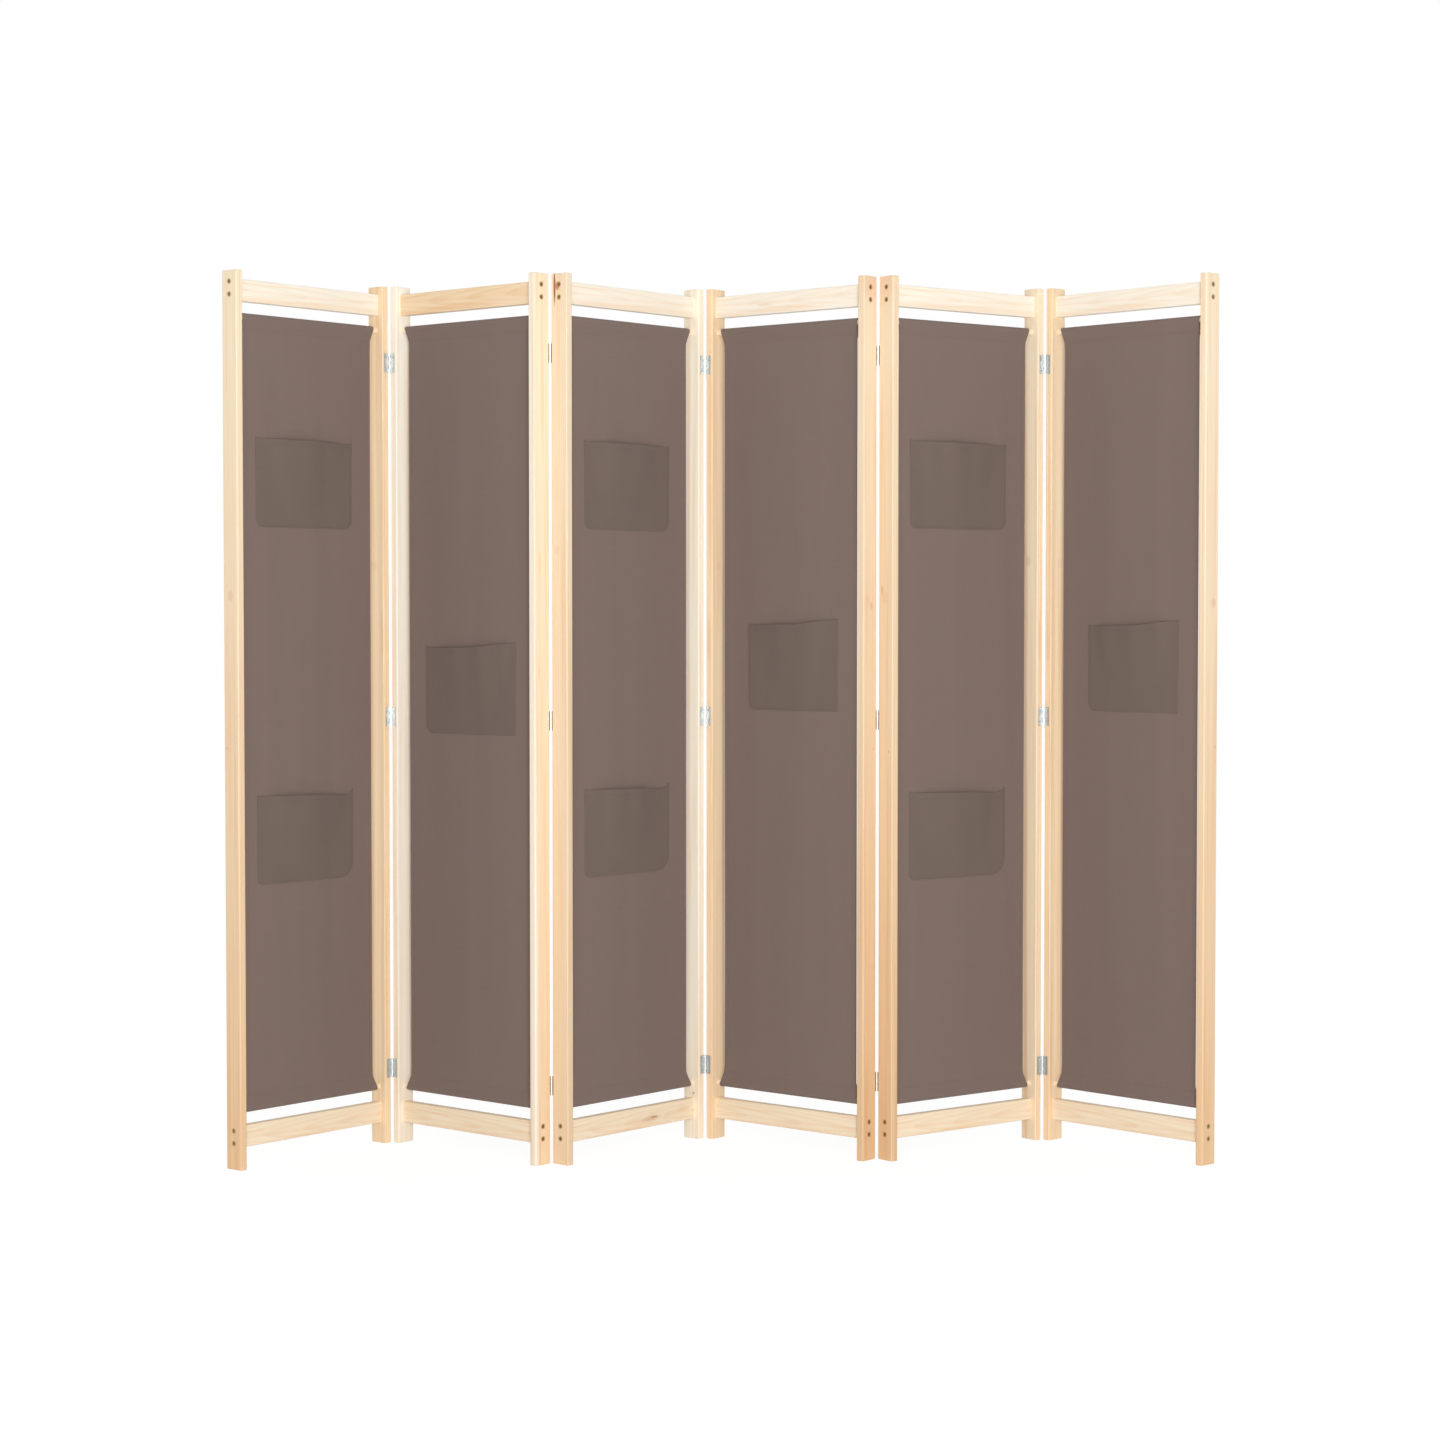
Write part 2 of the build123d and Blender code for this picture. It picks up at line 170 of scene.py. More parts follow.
class PocketSizes(bpy.types.PropertyGroup):
    """Sizes and colours of the pockets."""

    height: bpy.props.FloatProperty(
        name="Height", description="Height of a pocket at its upper corners", default=170 * MM,
        unit="LENGTH", precision=4)
    gape: bpy.props.FloatProperty(
        name="Gape", description="How far the mouth stands off the cloth at its middle",
        default=10 * MM, unit="LENGTH", precision=4)
    seam: bpy.props.FloatProperty(
        name="Seam", description="Width of the flat seam along the sides and the bottom",
        default=9 * MM, unit="LENGTH", precision=4)
    hem: bpy.props.FloatProperty(
        name="Mouth hem", description="Width of the hem along the mouth", default=12 * MM,
        unit="LENGTH", precision=4)
    turned: bpy.props.FloatProperty(
        name="Turned edge", description="Width of cloth turned under along the seams", default=7 * MM,
        unit="LENGTH", precision=4)
    colour: bpy.props.FloatVectorProperty(
        name="Colour", description="Colour of the pockets, darker where two layers stop the light",
        subtype="COLOR", size=4, min=0, max=1, default=linear("71625A"))


class StitchSizes(bpy.types.PropertyGroup):
    """Sizes and colour of the sewing thread."""

    pitch: bpy.props.FloatProperty(
        name="Pitch", description="Distance from one stitch to the next", default=3.6 * MM,
        unit="LENGTH", precision=4)
    length: bpy.props.FloatProperty(
        name="Length", description="Visible length of one stitch", default=2.8 * MM, unit="LENGTH",
        precision=4)
    width: bpy.props.FloatProperty(
        name="Width", description="Width of the thread", default=0.6 * MM, unit="LENGTH", precision=5)
    inset: bpy.props.FloatProperty(
        name="Inset", description="Distance from a pocket's edge to its seam", default=3 * MM,
        unit="LENGTH", precision=4)
    colour: bpy.props.FloatVectorProperty(
        name="Colour", description="Colour of the polyester thread", subtype="COLOR", size=4, min=0,
        max=1, default=linear("685850"))


class StageSettings(bpy.types.PropertyGroup):
    """Camera, light and floor."""

    camera: bpy.props.FloatVectorProperty(
        name="Camera", description="Place of the camera", subtype="TRANSLATION", size=3,
        default=(-0.0058, -5.8413, 1.0534), precision=4)
    pitch: bpy.props.FloatProperty(
        name="Pitch", description="How far the camera looks down", subtype="ANGLE", unit="ROTATION",
        default=radians(2.0155))
    lens: bpy.props.FloatProperty(
        name="Lens", description="Focal length on a 36 mm sensor, in millimetres", default=75.01)
    ambient: bpy.props.FloatProperty(
        name="Ambient", description="Strength of the even light from all round", default=0.55)
    key: bpy.props.FloatProperty(
        name="Key", description="Power of the large lamp beside the camera", default=208, unit="POWER")
    floor: bpy.props.FloatVectorProperty(
        name="Floor", description="Colour of the floor", subtype="COLOR", size=4, min=0, max=1,
        default=linear("F8F8F8"))
    floor_glow: bpy.props.FloatProperty(
        name="Floor glow", description="Share of plain white that the camera sees in the floor",
        default=0.8, min=0, max=1, subtype="FACTOR")


# --- nodes


def socket_of(sockets, key):
    """A node's socket by number, or by name among those that are in use."""
    if isinstance(key, int):
        return sockets[key]
    return next(socket for socket in sockets if socket.enabled and socket.name == key)


def add_node(tree, kind, inputs=None, **settings):
    """Adds a node. Inputs are values, sockets, or nodes whose first used output is linked."""
    node = tree.nodes.new(kind)
    for key, value in settings.items():
        setattr(node, key, value)
    for key, value in (inputs or {}).items():
        target = socket_of(node.inputs, key)
        if isinstance(value, bpy.types.Node):
            value = next(socket for socket in value.outputs if socket.enabled)
        if isinstance(value, bpy.types.NodeSocket):
            tree.links.new(value, target)
        else:
            target.default_value = value
    return node


def new_material(name):
    """Empty material with its node tree."""
    material = bpy.data.materials.new(name)
    material.use_nodes = True
    material.node_tree.nodes.clear()
    return material, material.node_tree


def finish_material(tree, shader):
    """Links a shader to the material's output."""
    add_node(tree, "ShaderNodeOutputMaterial", {"Surface": shader})


def pine_material(name, look, grain, heart, rings_mm, marks=(), warm_foot=0.0):
    """Planed pine, clear and matt: pale wide early wood, thin darker late wood, fine fibres, few knots.

    look holds the colours of the early and the late wood. grain is the direction of the tree's heart
    line and heart a point on it, so that the rings come out on each face as they do on a sawn board:
    straight lines, arches or arcs on the end. marks are knots, streaks of pitch, stained places and
    painted
    shade: place, half width, how many times longer along the grain, strength and colour. warm_foot is how
    much warmer and darker the board gets from its top down to the floor.
    """
    early, late = (linear(code) for code in look)
    material, tree = new_material(name)
    place = add_node(tree, "ShaderNodeTexCoord").outputs["Object"]
    turned = grain.to_track_quat("Z", "Y").to_euler()
    log = add_node(tree, "ShaderNodeMapping", {"Vector": place, "Location": heart, "Rotation": turned},
                   vector_type="TEXTURE")
    # Rings a few millimetres apart, that wander a little along the trunk
    stretched = add_node(tree, "ShaderNodeVectorMath", {0: log, 1: (1, 1, 0.09)}, operation="MULTIPLY")
    wander = add_node(tree, "ShaderNodeTexNoise", {"Vector": stretched, "Scale": 22.0, "Detail": 2.0})
    across = add_node(tree, "ShaderNodeVectorMath", {0: log, 1: (1, 1, 0)}, operation="MULTIPLY")
    radius = add_node(tree, "ShaderNodeVectorMath", {0: across}, operation="LENGTH").outputs["Value"]
    count = add_node(tree, "ShaderNodeMath", {0: radius, 1: 1 / (rings_mm * MM)}, operation="MULTIPLY")
    count = add_node(tree, "ShaderNodeMath", {0: wander.outputs["Fac"], 1: 3.2, 2: count},
                     operation="MULTIPLY_ADD")
    stains_and_painted_shade = []
    for spot, size, stretch, strength, tint in marks:
        # Distance from the mark in its own half widths. The rings bend round it and its core takes its
        # colour: a stain, or painted shade where the mark stands in for shade.
        near = add_node(tree, "ShaderNodeMapping", {
            "Vector": place, "Location": spot, "Rotation": turned,
            "Scale": (size, size, size * stretch)}, vector_type="TEXTURE")
        far = add_node(tree, "ShaderNodeVectorMath", {0: near}, operation="LENGTH").outputs["Value"]
        bend = add_node(tree, "ShaderNodeMapRange", {
            "Value": far, "From Min": 2.6, "From Max": 0.3, "To Min": 0.0, "To Max": strength},
            interpolation_type="SMOOTHERSTEP")
        count = add_node(tree, "ShaderNodeMath", {0: bend, 1: 1.7, 2: count}, operation="MULTIPLY_ADD")
        core = add_node(tree, "ShaderNodeMapRange", {
            "Value": far, "From Min": 1.5, "From Max": 0.4, "To Min": 0.0, "To Max": strength},
            interpolation_type="SMOOTHERSTEP")
        stains_and_painted_shade.append((core, linear(tint)))
    # Each ring darkens slowly through its year and ends at once
    turn = add_node(tree, "ShaderNodeMath", {0: count}, operation="FRACT")
    rise = add_node(tree, "ShaderNodeMapRange", {"Value": turn, "From Min": 0.35, "From Max": 0.88},
                    interpolation_type="SMOOTHSTEP")
    fall = add_node(tree, "ShaderNodeMapRange", {
        "Value": turn, "From Min": 0.90, "From Max": 1.0, "To Min": 1.0, "To Max": 0.0},
        interpolation_type="SMOOTHSTEP")
    band = add_node(tree, "ShaderNodeMath", {0: rise, 1: fall}, operation="MULTIPLY")
    # Fibres about a millimetre wide and some centimetres long, among broader streaks
    fine = add_node(tree, "ShaderNodeVectorMath", {0: log, 1: (1, 1, 0.02)}, operation="MULTIPLY")
    fibre = add_node(tree, "ShaderNodeTexNoise", {"Vector": fine, "Scale": 900.0, "Detail": 3.0})
    broad = add_node(tree, "ShaderNodeTexNoise", {"Vector": fine, "Scale": 170.0, "Detail": 1.0})
    streaks = add_node(tree, "ShaderNodeMath", {0: fibre.outputs["Fac"], 1: 0.30}, operation="MULTIPLY")
    tone = add_node(tree, "ShaderNodeMath", {0: band, 1: 0.42, 2: streaks}, operation="MULTIPLY_ADD")
    tone = add_node(tree, "ShaderNodeMath", {0: broad.outputs["Fac"], 1: 0.9, 2: tone},
                    operation="MULTIPLY_ADD")
    tone = add_node(tree, "ShaderNodeMath", {0: tone, 1: 0.42}, operation="SUBTRACT", use_clamp=True)
    colour = add_node(tree, "ShaderNodeMix", {"Factor": tone, "A": early, "B": late}, data_type="RGBA")
    # Some streaks are pink rather than yellow
    beyond = add_node(tree, "ShaderNodeVectorMath", {0: fine, 1: (0.31, 0.17, 0.23)}, operation="ADD")
    blush = add_node(tree, "ShaderNodeTexNoise", {"Vector": beyond, "Scale": 110.0, "Detail": 1.0})
    pink = add_node(tree, "ShaderNodeMapRange", {
        "Value": blush.outputs["Fac"], "From Min": 0.50, "From Max": 0.68})
    colour = add_node(tree, "ShaderNodeMix", {"Factor": pink, "A": colour, "B": linear("FDF2E9")},
                      data_type="RGBA", blend_type="MULTIPLY")
    if warm_foot:
        height = add_node(tree, "ShaderNodeSeparateXYZ", {0: place}).outputs["Z"]
        low = add_node(tree, "ShaderNodeMapRange", {
            "Value": height, "From Min": 1.55, "From Max": 0.15, "To Min": 0.0, "To Max": warm_foot})
        colour = add_node(tree, "ShaderNodeMix", {"Factor": low, "A": colour, "B": linear("F2DFCB")},
                          data_type="RGBA", blend_type="MULTIPLY")
    for core, tint in stains_and_painted_shade:
        colour = add_node(tree, "ShaderNodeMix", {"Factor": core, "A": colour, "B": tint},
                          data_type="RGBA")
    rough = add_node(tree, "ShaderNodeMapRange", {
        "Value": tone, "From Min": 0.0, "From Max": 1.0, "To Min": 0.62, "To Max": 0.5})
    relief = add_node(tree, "ShaderNodeBump", {"Strength": 0.25, "Distance": 0.1 * MM, "Height": fibre})
    shader = add_node(tree, "ShaderNodeBsdfPrincipled", {
        "Base Color": colour, "Roughness": rough, "Normal": relief})
    finish_material(tree, shader)
    return material


# Looks of boards from different trees: early wood and late wood
WHITE = ("FFF8EA", "F8ECD7")
IVORY = ("FFF6E4", "F8E9D0")
PALE = ("FCF3E3", "F4E6CE")
CREAM = ("FAE9CE", "F1D6B0")
OAT = ("F2E0C5", "E9CFA9")
HONEY = ("F8DFBD", "ECC897")


def plain_weave_material(name, colour):
    """Piece-dyed polyester in plain weave: matt, even, with a soft sheen and faint thick threads.

    Its threads are 0.4 mm apart. They are drawn 1.2 mm apart, so that they show in a near view.
    """
    material, tree = new_material(name)
    cut = add_node(tree, "ShaderNodeUVMap", uv_map="cut")
    angle = add_node(tree, "ShaderNodeVectorMath", {0: cut, 1: (pi / (1.2 * MM),) * 3},
                     operation="MULTIPLY")
    parts = add_node(tree, "ShaderNodeSeparateXYZ", {0: angle})
    warp = add_node(tree, "ShaderNodeMath", {0: parts.outputs["X"]}, operation="SINE")
    weft = add_node(tree, "ShaderNodeMath", {0: parts.outputs["Y"]}, operation="SINE")
    weave = add_node(tree, "ShaderNodeMath", {0: warp, 1: weft}, operation="MULTIPLY")
    # Thick places, 1.4 mm wide and 70 mm long, in the warp and in the weft
    slubs = []
    for scales in ((700, 14, 1), (14, 700, 1)):
        drawn = add_node(tree, "ShaderNodeVectorMath", {0: cut, 1: scales}, operation="MULTIPLY")
        slubs.append(add_node(tree, "ShaderNodeTexNoise", {
            "Vector": drawn, "Scale": 1.0, "Detail": 2.0}))
    slub = add_node(tree, "ShaderNodeMath", {0: slubs[0].outputs["Fac"], 1: slubs[1].outputs["Fac"]},
                    operation="ADD")
    # Broad upright bands a little darker or lighter: painted shade of soft folds in the cloth
    bands = add_node(tree, "ShaderNodeVectorMath", {0: cut, 1: (16, 1.2, 1)}, operation="MULTIPLY")
    band = add_node(tree, "ShaderNodeTexNoise", {"Vector": bands, "Scale": 1.0, "Detail": 1.0})
    value = add_node(tree, "ShaderNodeMath", {0: slub, 1: 0.10, 2: 0.90}, operation="MULTIPLY_ADD")
    # The weave's low places are painted a little darker, painted shade between the threads; the same
    # pattern drives the bump
    value = add_node(tree, "ShaderNodeMath", {0: weave, 1: 0.035, 2: value}, operation="MULTIPLY_ADD")
    value = add_node(tree, "ShaderNodeMath", {0: band.outputs["Fac"], 1: 0.06, 2: value},
                     operation="MULTIPLY_ADD")
    value = add_node(tree, "ShaderNodeMath", {0: value, 1: 0.03}, operation="SUBTRACT")
    dyed = add_node(tree, "ShaderNodeVectorMath", {0: tuple(colour[:3]), "Scale": value},
                    operation="SCALE")
    relief = add_node(tree, "ShaderNodeBump", {"Strength": 0.35, "Distance": 0.15 * MM, "Height": weave})
    shader = add_node(tree, "ShaderNodeBsdfPrincipled", {
        "Base Color": dyed, "Roughness": 0.85, "Sheen Weight": 0.12, "Sheen Roughness": 0.5,
        "Specular IOR Level": 0.25, "Normal": relief})
    finish_material(tree, shader)
    return material


def thread_material(colour):
    """Spun polyester sewing thread: matt, with the light and dark of its twist."""
    material, tree = new_material("polyester_thread")
    place = add_node(tree, "ShaderNodeTexCoord").outputs["Object"]
    twist = add_node(tree, "ShaderNodeTexNoise", {"Vector": place, "Scale": 1400.0, "Detail": 1.0})
    value = add_node(tree, "ShaderNodeMath", {0: twist.outputs["Fac"], 1: 0.4, 2: 0.8},
                     operation="MULTIPLY_ADD")
    spun = add_node(tree, "ShaderNodeVectorMath", {0: tuple(colour[:3]), "Scale": value},
                    operation="SCALE")
    shader = add_node(tree, "ShaderNodeBsdfPrincipled", {"Base Color": spun, "Roughness": 0.7})
    finish_material(tree, shader)
    return material


def turned_dowel_material(name, grain):
    """Turned softwood rod, unfinished: pale, with fine straight fibres and faint tool rings."""
    material, tree = new_material(name)
    place = add_node(tree, "ShaderNodeTexCoord").outputs["Object"]
    rod = add_node(tree, "ShaderNodeMapping", {
        "Vector": place, "Rotation": grain.to_track_quat("Z", "Y").to_euler()}, vector_type="TEXTURE")
    fine = add_node(tree, "ShaderNodeVectorMath", {0: rod, 1: (1, 1, 0.03)}, operation="MULTIPLY")
    fibre = add_node(tree, "ShaderNodeTexNoise", {"Vector": fine, "Scale": 700.0, "Detail": 3.0})
    colour = add_node(tree, "ShaderNodeMix", {
        "Factor": fibre.outputs["Fac"], "A": linear("FBEDD6"), "B": linear("EFD8B4")}, data_type="RGBA")
    relief = add_node(tree, "ShaderNodeBump", {"Strength": 0.2, "Distance": 0.1 * MM, "Height": fibre})
    shader = add_node(tree, "ShaderNodeBsdfPrincipled", {
        "Base Color": colour, "Roughness": 0.6, "Normal": relief})
    finish_material(tree, shader)
    return material


def bright_zinc_material(name, axes):
    """Stamped steel with bright zinc plate: cool silver, soft reflections and faint cloudy patches.

    The plate is painted almost white along the top of the rolled knuckles, a painted highlight, and duller
    in the creases beside them, painted shade. axes are points on the lines that the knuckles are rolled
    round.
    """
    material, tree = new_material(name)
    place = add_node(tree, "ShaderNodeTexCoord").outputs["Object"]
    # Distance from the nearest line
    off = None
    for axis in axes:
        from_axis = add_node(tree, "ShaderNodeVectorMath", {0: place, 1: axis}, operation="SUBTRACT")
        level = add_node(tree, "ShaderNodeVectorMath", {0: from_axis, 1: (1, 1, 0)},
                         operation="MULTIPLY")
        far = add_node(tree, "ShaderNodeVectorMath", {0: level}, operation="LENGTH").outputs["Value"]
        if off is None:
            off = far
        else:
            off = add_node(tree, "ShaderNodeMath", {0: off, 1: far}, operation="MINIMUM")
    # Painted highlight along the top of each knuckle: almost white out to 1.9 mm from its line, falling
    # off by 3 mm to the plate's duller grey, painted shade in the creases
    painted_highlight_falloff = add_node(tree, "ShaderNodeMapRange", {
        "Value": off, "From Min": 1.9 * MM, "From Max": 3.0 * MM})
    cloud = add_node(tree, "ShaderNodeTexNoise", {"Vector": place, "Scale": 260.0, "Detail": 3.0})
    plate = add_node(tree, "ShaderNodeMix", {
        "Factor": cloud.outputs["Fac"], "A": linear("CBCDCC"), "B": linear("A4A6A4")}, data_type="RGBA")
    colour = add_node(tree, "ShaderNodeMix", {"Factor": painted_highlight_falloff, "A": linear("F2F2F1"), "B": plate},
                      data_type="RGBA")
    rough = add_node(tree, "ShaderNodeMapRange", {
        "Value": cloud.outputs["Fac"], "To Min": 0.28, "To Max": 0.45})
    shader = add_node(tree, "ShaderNodeBsdfPrincipled", {
        "Base Color": colour, "Metallic": 1.0, "Roughness": rough})
    finish_material(tree, shader)
    return material


# Heights between which every screw is a hinge's: above and below are the frame's own
HINGE_SCREWS_LOW, HINGE_SCREWS_HIGH = 0.1, 1.62


def screw_material():
    """Zinc-plated steel: cloudy yellow plate on the frame's screws and bright plate on the hinges'."""
    material, tree = new_material("plated_screw_steel")
    place = add_node(tree, "ShaderNodeTexCoord").outputs["Object"]
    cloud = add_node(tree, "ShaderNodeTexNoise", {"Vector": place, "Scale": 600.0, "Detail": 2.0})
    yellow = add_node(tree, "ShaderNodeMix", {
        "Factor": cloud.outputs["Fac"], "A": linear("B0965F"), "B": linear("8C7345")}, data_type="RGBA")
    height = add_node(tree, "ShaderNodeSeparateXYZ", {0: place}).outputs["Z"]
    above = add_node(tree, "ShaderNodeMath", {0: height, 1: HINGE_SCREWS_LOW}, operation="GREATER_THAN")
    below = add_node(tree, "ShaderNodeMath", {0: height, 1: HINGE_SCREWS_HIGH}, operation="LESS_THAN")
    hinge = add_node(tree, "ShaderNodeMath", {0: above, 1: below}, operation="MULTIPLY")
    colour = add_node(tree, "ShaderNodeMix", {"Factor": hinge, "A": yellow, "B": linear("C4CCCE")},
                      data_type="RGBA")
    shader = add_node(tree, "ShaderNodeBsdfPrincipled", {
        "Base Color": colour, "Metallic": 1.0, "Roughness": 0.45})
    finish_material(tree, shader)
    return material


# --- sewn sheets


def grid_piece(name, rows, cut, skip=None):
    """Object made of a grid of points, faces to the front where rows go down and columns right.

    cut holds the place of each point in the flat cloth and becomes the UV map named cut.
    """
    width = len(rows[0])
    points = [point for row in rows for point in row]
    faces = []
    for i in range(len(rows) - 1):
        for j in range(width - 1):
            if skip is None or not skip(i, j):
                first = i * width + j
                faces.append((first, first + width, first + width + 1, first + 1))
    used = sorted({corner for face in faces for corner in face})
    renamed = {old: new for new, old in enumerate(used)}
    mesh = bpy.data.meshes.new(name)
    mesh.from_pydata([points[old] for old in used], [],
                     [[renamed[corner] for corner in face] for face in faces])
    flat = [place for row in cut for place in row]
    layer = mesh.uv_layers.new(name="cut")
    for loop in mesh.loops:
        layer.data[loop.index].uv = flat[used[loop.vertex_index]]
    mesh.shade_smooth()
    piece = bpy.data.objects.new(name, mesh)
    bpy.context.scene.collection.objects.link(piece)
    return piece


def give_thickness(piece, thickness):
    """Closes a sheet into a thin shell, half its thickness to each side."""
    shell = piece.modifiers.new("thickness", "SOLIDIFY")
    shell.thickness = thickness
    shell.offset = 0.0
    shell.use_even_offset = False


def cloth_half_width(place, sizes, up):
    """Half of the cloth's width at a height: a straight waist that flares into the corners."""
    waist = place.half_inside - sizes.side_gap
    low, high = place.dowels
    flare, gap = sizes.top_flare, sizes.top_gap
    from_end = high + sizes.sleeve_radius - up
    if up < (low + high) / 2:
        flare, gap = sizes.bottom_flare, sizes.bottom_gap
        from_end = up - low + sizes.sleeve_radius
    share = min(max(1 - from_end / flare, 0.0), 1.0)
    pull = share * share * (share - 1) * 0.3 * flare
    return waist + (sizes.side_gap - gap) * share * share * (3 - 2 * share) + pull


def cloth_ripple(place, sizes, across, up):
    """How far the stretched cloth stands ahead of the panel's mid-depth."""
    low, high = place.dowels
    inside = smooth(up, low + 0.03, low + 0.22) * smooth(-up, 0.03 - high, 0.22 - high)
    phase = place.number * 1.7
    wave = sin(across * 2 * pi / 0.118 + phase + 0.7 * sin(up * 4.1 + phase))
    wave += 0.5 * sin(across * 2 * pi / 0.061 + 2.3 * phase + up * 1.9)
    return sizes.ripple * inside * wave / 1.5


def sleeve_path(place, sizes):
    """Side view of the cloth as (ahead, up, share).

    It runs from the back hem at the top over the top dowel, down the front, round the bottom dowel and up
    to the back hem there. share is 1 where the cloth lies behind another layer of itself.
    """
    low, high = place.dowels
    radius, drop, hem = sizes.sleeve_radius, sizes.sleeve_drop, sizes.sleeve_hem
    lean = asin(radius / drop)
    over = [(radius * cos(a), high + radius * sin(a), 0.0) for a in spread(pi + lean, -lean, 19)]
    under = [(radius * cos(a), low + radius * sin(a), 0.0) for a in spread(lean, -pi - lean, 19)]
    back = -1.1 * sizes.thickness
    seam_top, seam_low = high - drop, low + drop

    def leg(first, last, shares, count):
        steps = spread(0.0, 1.0, count)
        return [(first[0] + (last[0] - first[0]) * t, first[1] + (last[1] - first[1]) * t,
                 shares[0] + (shares[1] - shares[0]) * t) for t in steps]

    path = leg((back, seam_top - hem), (back, seam_top), (1.0, 1.0), 4)
    path += leg((back, seam_top), over[0], (1.0, 0.0), 5)[1:]
    path += over[1:]
    path += leg(over[-1], (0.0, seam_top), (0.0, 0.0), 5)[1:]
    path += leg((0.0, seam_top), (0.0, seam_low), (0.0, 0.0), 111)[1:]
    path += leg((0.0, seam_low), under[0], (0.0, 0.0), 5)[1:]
    path += under[1:]
    path += leg(under[-1], (back, seam_low), (0.0, 1.0), 5)[1:]
    path += leg((back, seam_low), (back, seam_low + hem), (1.0, 1.0), 4)[1:]
    return path


def folded_edge(hem, layer):
    """Columns of a hem from its inner edge round the fold: (inset, depth, place in the cut)."""
    turn = layer / 2
    columns = [(hem * share, layer, -hem * share) for share in (1.0, 0.66, 0.33)]
    columns += [(turn * (1 - sin(a)), turn * (1 + cos(a)), 0.0) for a in spread(0.0, pi, 7)]
    return columns


def make_cloth(place, sizes, material):
    """Stretched cloth of one panel, from one cut, with its side hems and both sleeves."""
    path = sleeve_path(place, sizes)
    layer = sizes.thickness * LAYER_STEP
    edge = folded_edge(sizes.side_hem, layer)
    inner = spread(-1.0, 1.0, 57)
    rows, cut = [], []
    run = 0.0
    area = 0.0
    for i, (ahead, up, share) in enumerate(path):
        before, after = path[max(i - 1, 0)], path[min(i + 1, len(path) - 1)]
        step = Vector((after[0] - before[0], after[1] - before[1])).normalized()
        inward = Vector((step.y, -step.x))
        if i:
            length = hypot(ahead - path[i - 1][0], up - path[i - 1][1])
            run += length
            area += length * 2 * (cloth_half_width(place, sizes, up) + sizes.side_hem)
        half = cloth_half_width(place, sizes, up)
        columns = [(-half + inset, depth, -half + at) for inset, depth, at in edge]
        columns += [((half - layer / 2) * s, 0.0, (half - layer / 2) * s) for s in inner[1:-1]]
        columns += [(half - inset, depth, half - at) for inset, depth, at in reversed(edge)]
        row, places = [], []
        for across, depth, flat in columns:
            hem = smooth(abs(across), half - sizes.side_hem - 4 * MM, half - sizes.side_hem)
            forward = ahead + cloth_ripple(place, sizes, across, up) - share * hem * 2 * layer
            row.append(place.at(across, forward + inward.x * depth, up + inward.y * depth))
            places.append((flat, -run))
        rows.append(row)
        cut.append(places)
    cloth = grid_piece(f"cloth_{place.number}", rows, cut)
    give_thickness(cloth, sizes.thickness)
    cloth.data.materials.append(material)
    widest = 2 * (place.half_inside - min(sizes.top_gap, sizes.bottom_gap) + sizes.side_hem)
    return cloth, (widest, run), area


def cloth_seams(place, sizes):
    """Lines of stitches on the front and on the back: along both sleeves and down both side hems."""
    low, high = (place.dowels[0] + sizes.sleeve_drop, place.dowels[1] - sizes.sleeve_drop)
    seams = []
    for skin in (sizes.thickness / 2, -1.7 * sizes.thickness):
        for up in (high, low):
            half = cloth_half_width(place, sizes, up) - 1 * MM
            seams.append([place.at(across, skin, up) for across in spread(-half, half, 40)])
        for side in (LEFT, RIGHT):
            seam = []
            for up in spread(low + 3 * MM, high - 3 * MM, 140):
                across = side * (cloth_half_width(place, sizes, up) - sizes.side_hem + 1.5 * MM)
                seam.append(place.at(across, skin + cloth_ripple(place, sizes, across, up), up))
            seams.append(seam)
    return seams


# Mouth of a pocket from left to right, as (share of its half width, millimetres above its height), and
# the radii of its left and right lower corners
POCKET_CUTS = {
    "upper": (((-1, 0), (-0.9, -2), (0, -2), (0.9, -4), (1, -2)), (16, 20)),
    "lower": (((-1, 1), (-0.92, -1), (0.1, -3), (0.8, -7), (0.93, -4), (1, 3)), (12, 34)),
    "only": (((-1, 0), (-0.92, -2), (0, -1), (0.85, 7), (1, 9)), (18, 3)),
}


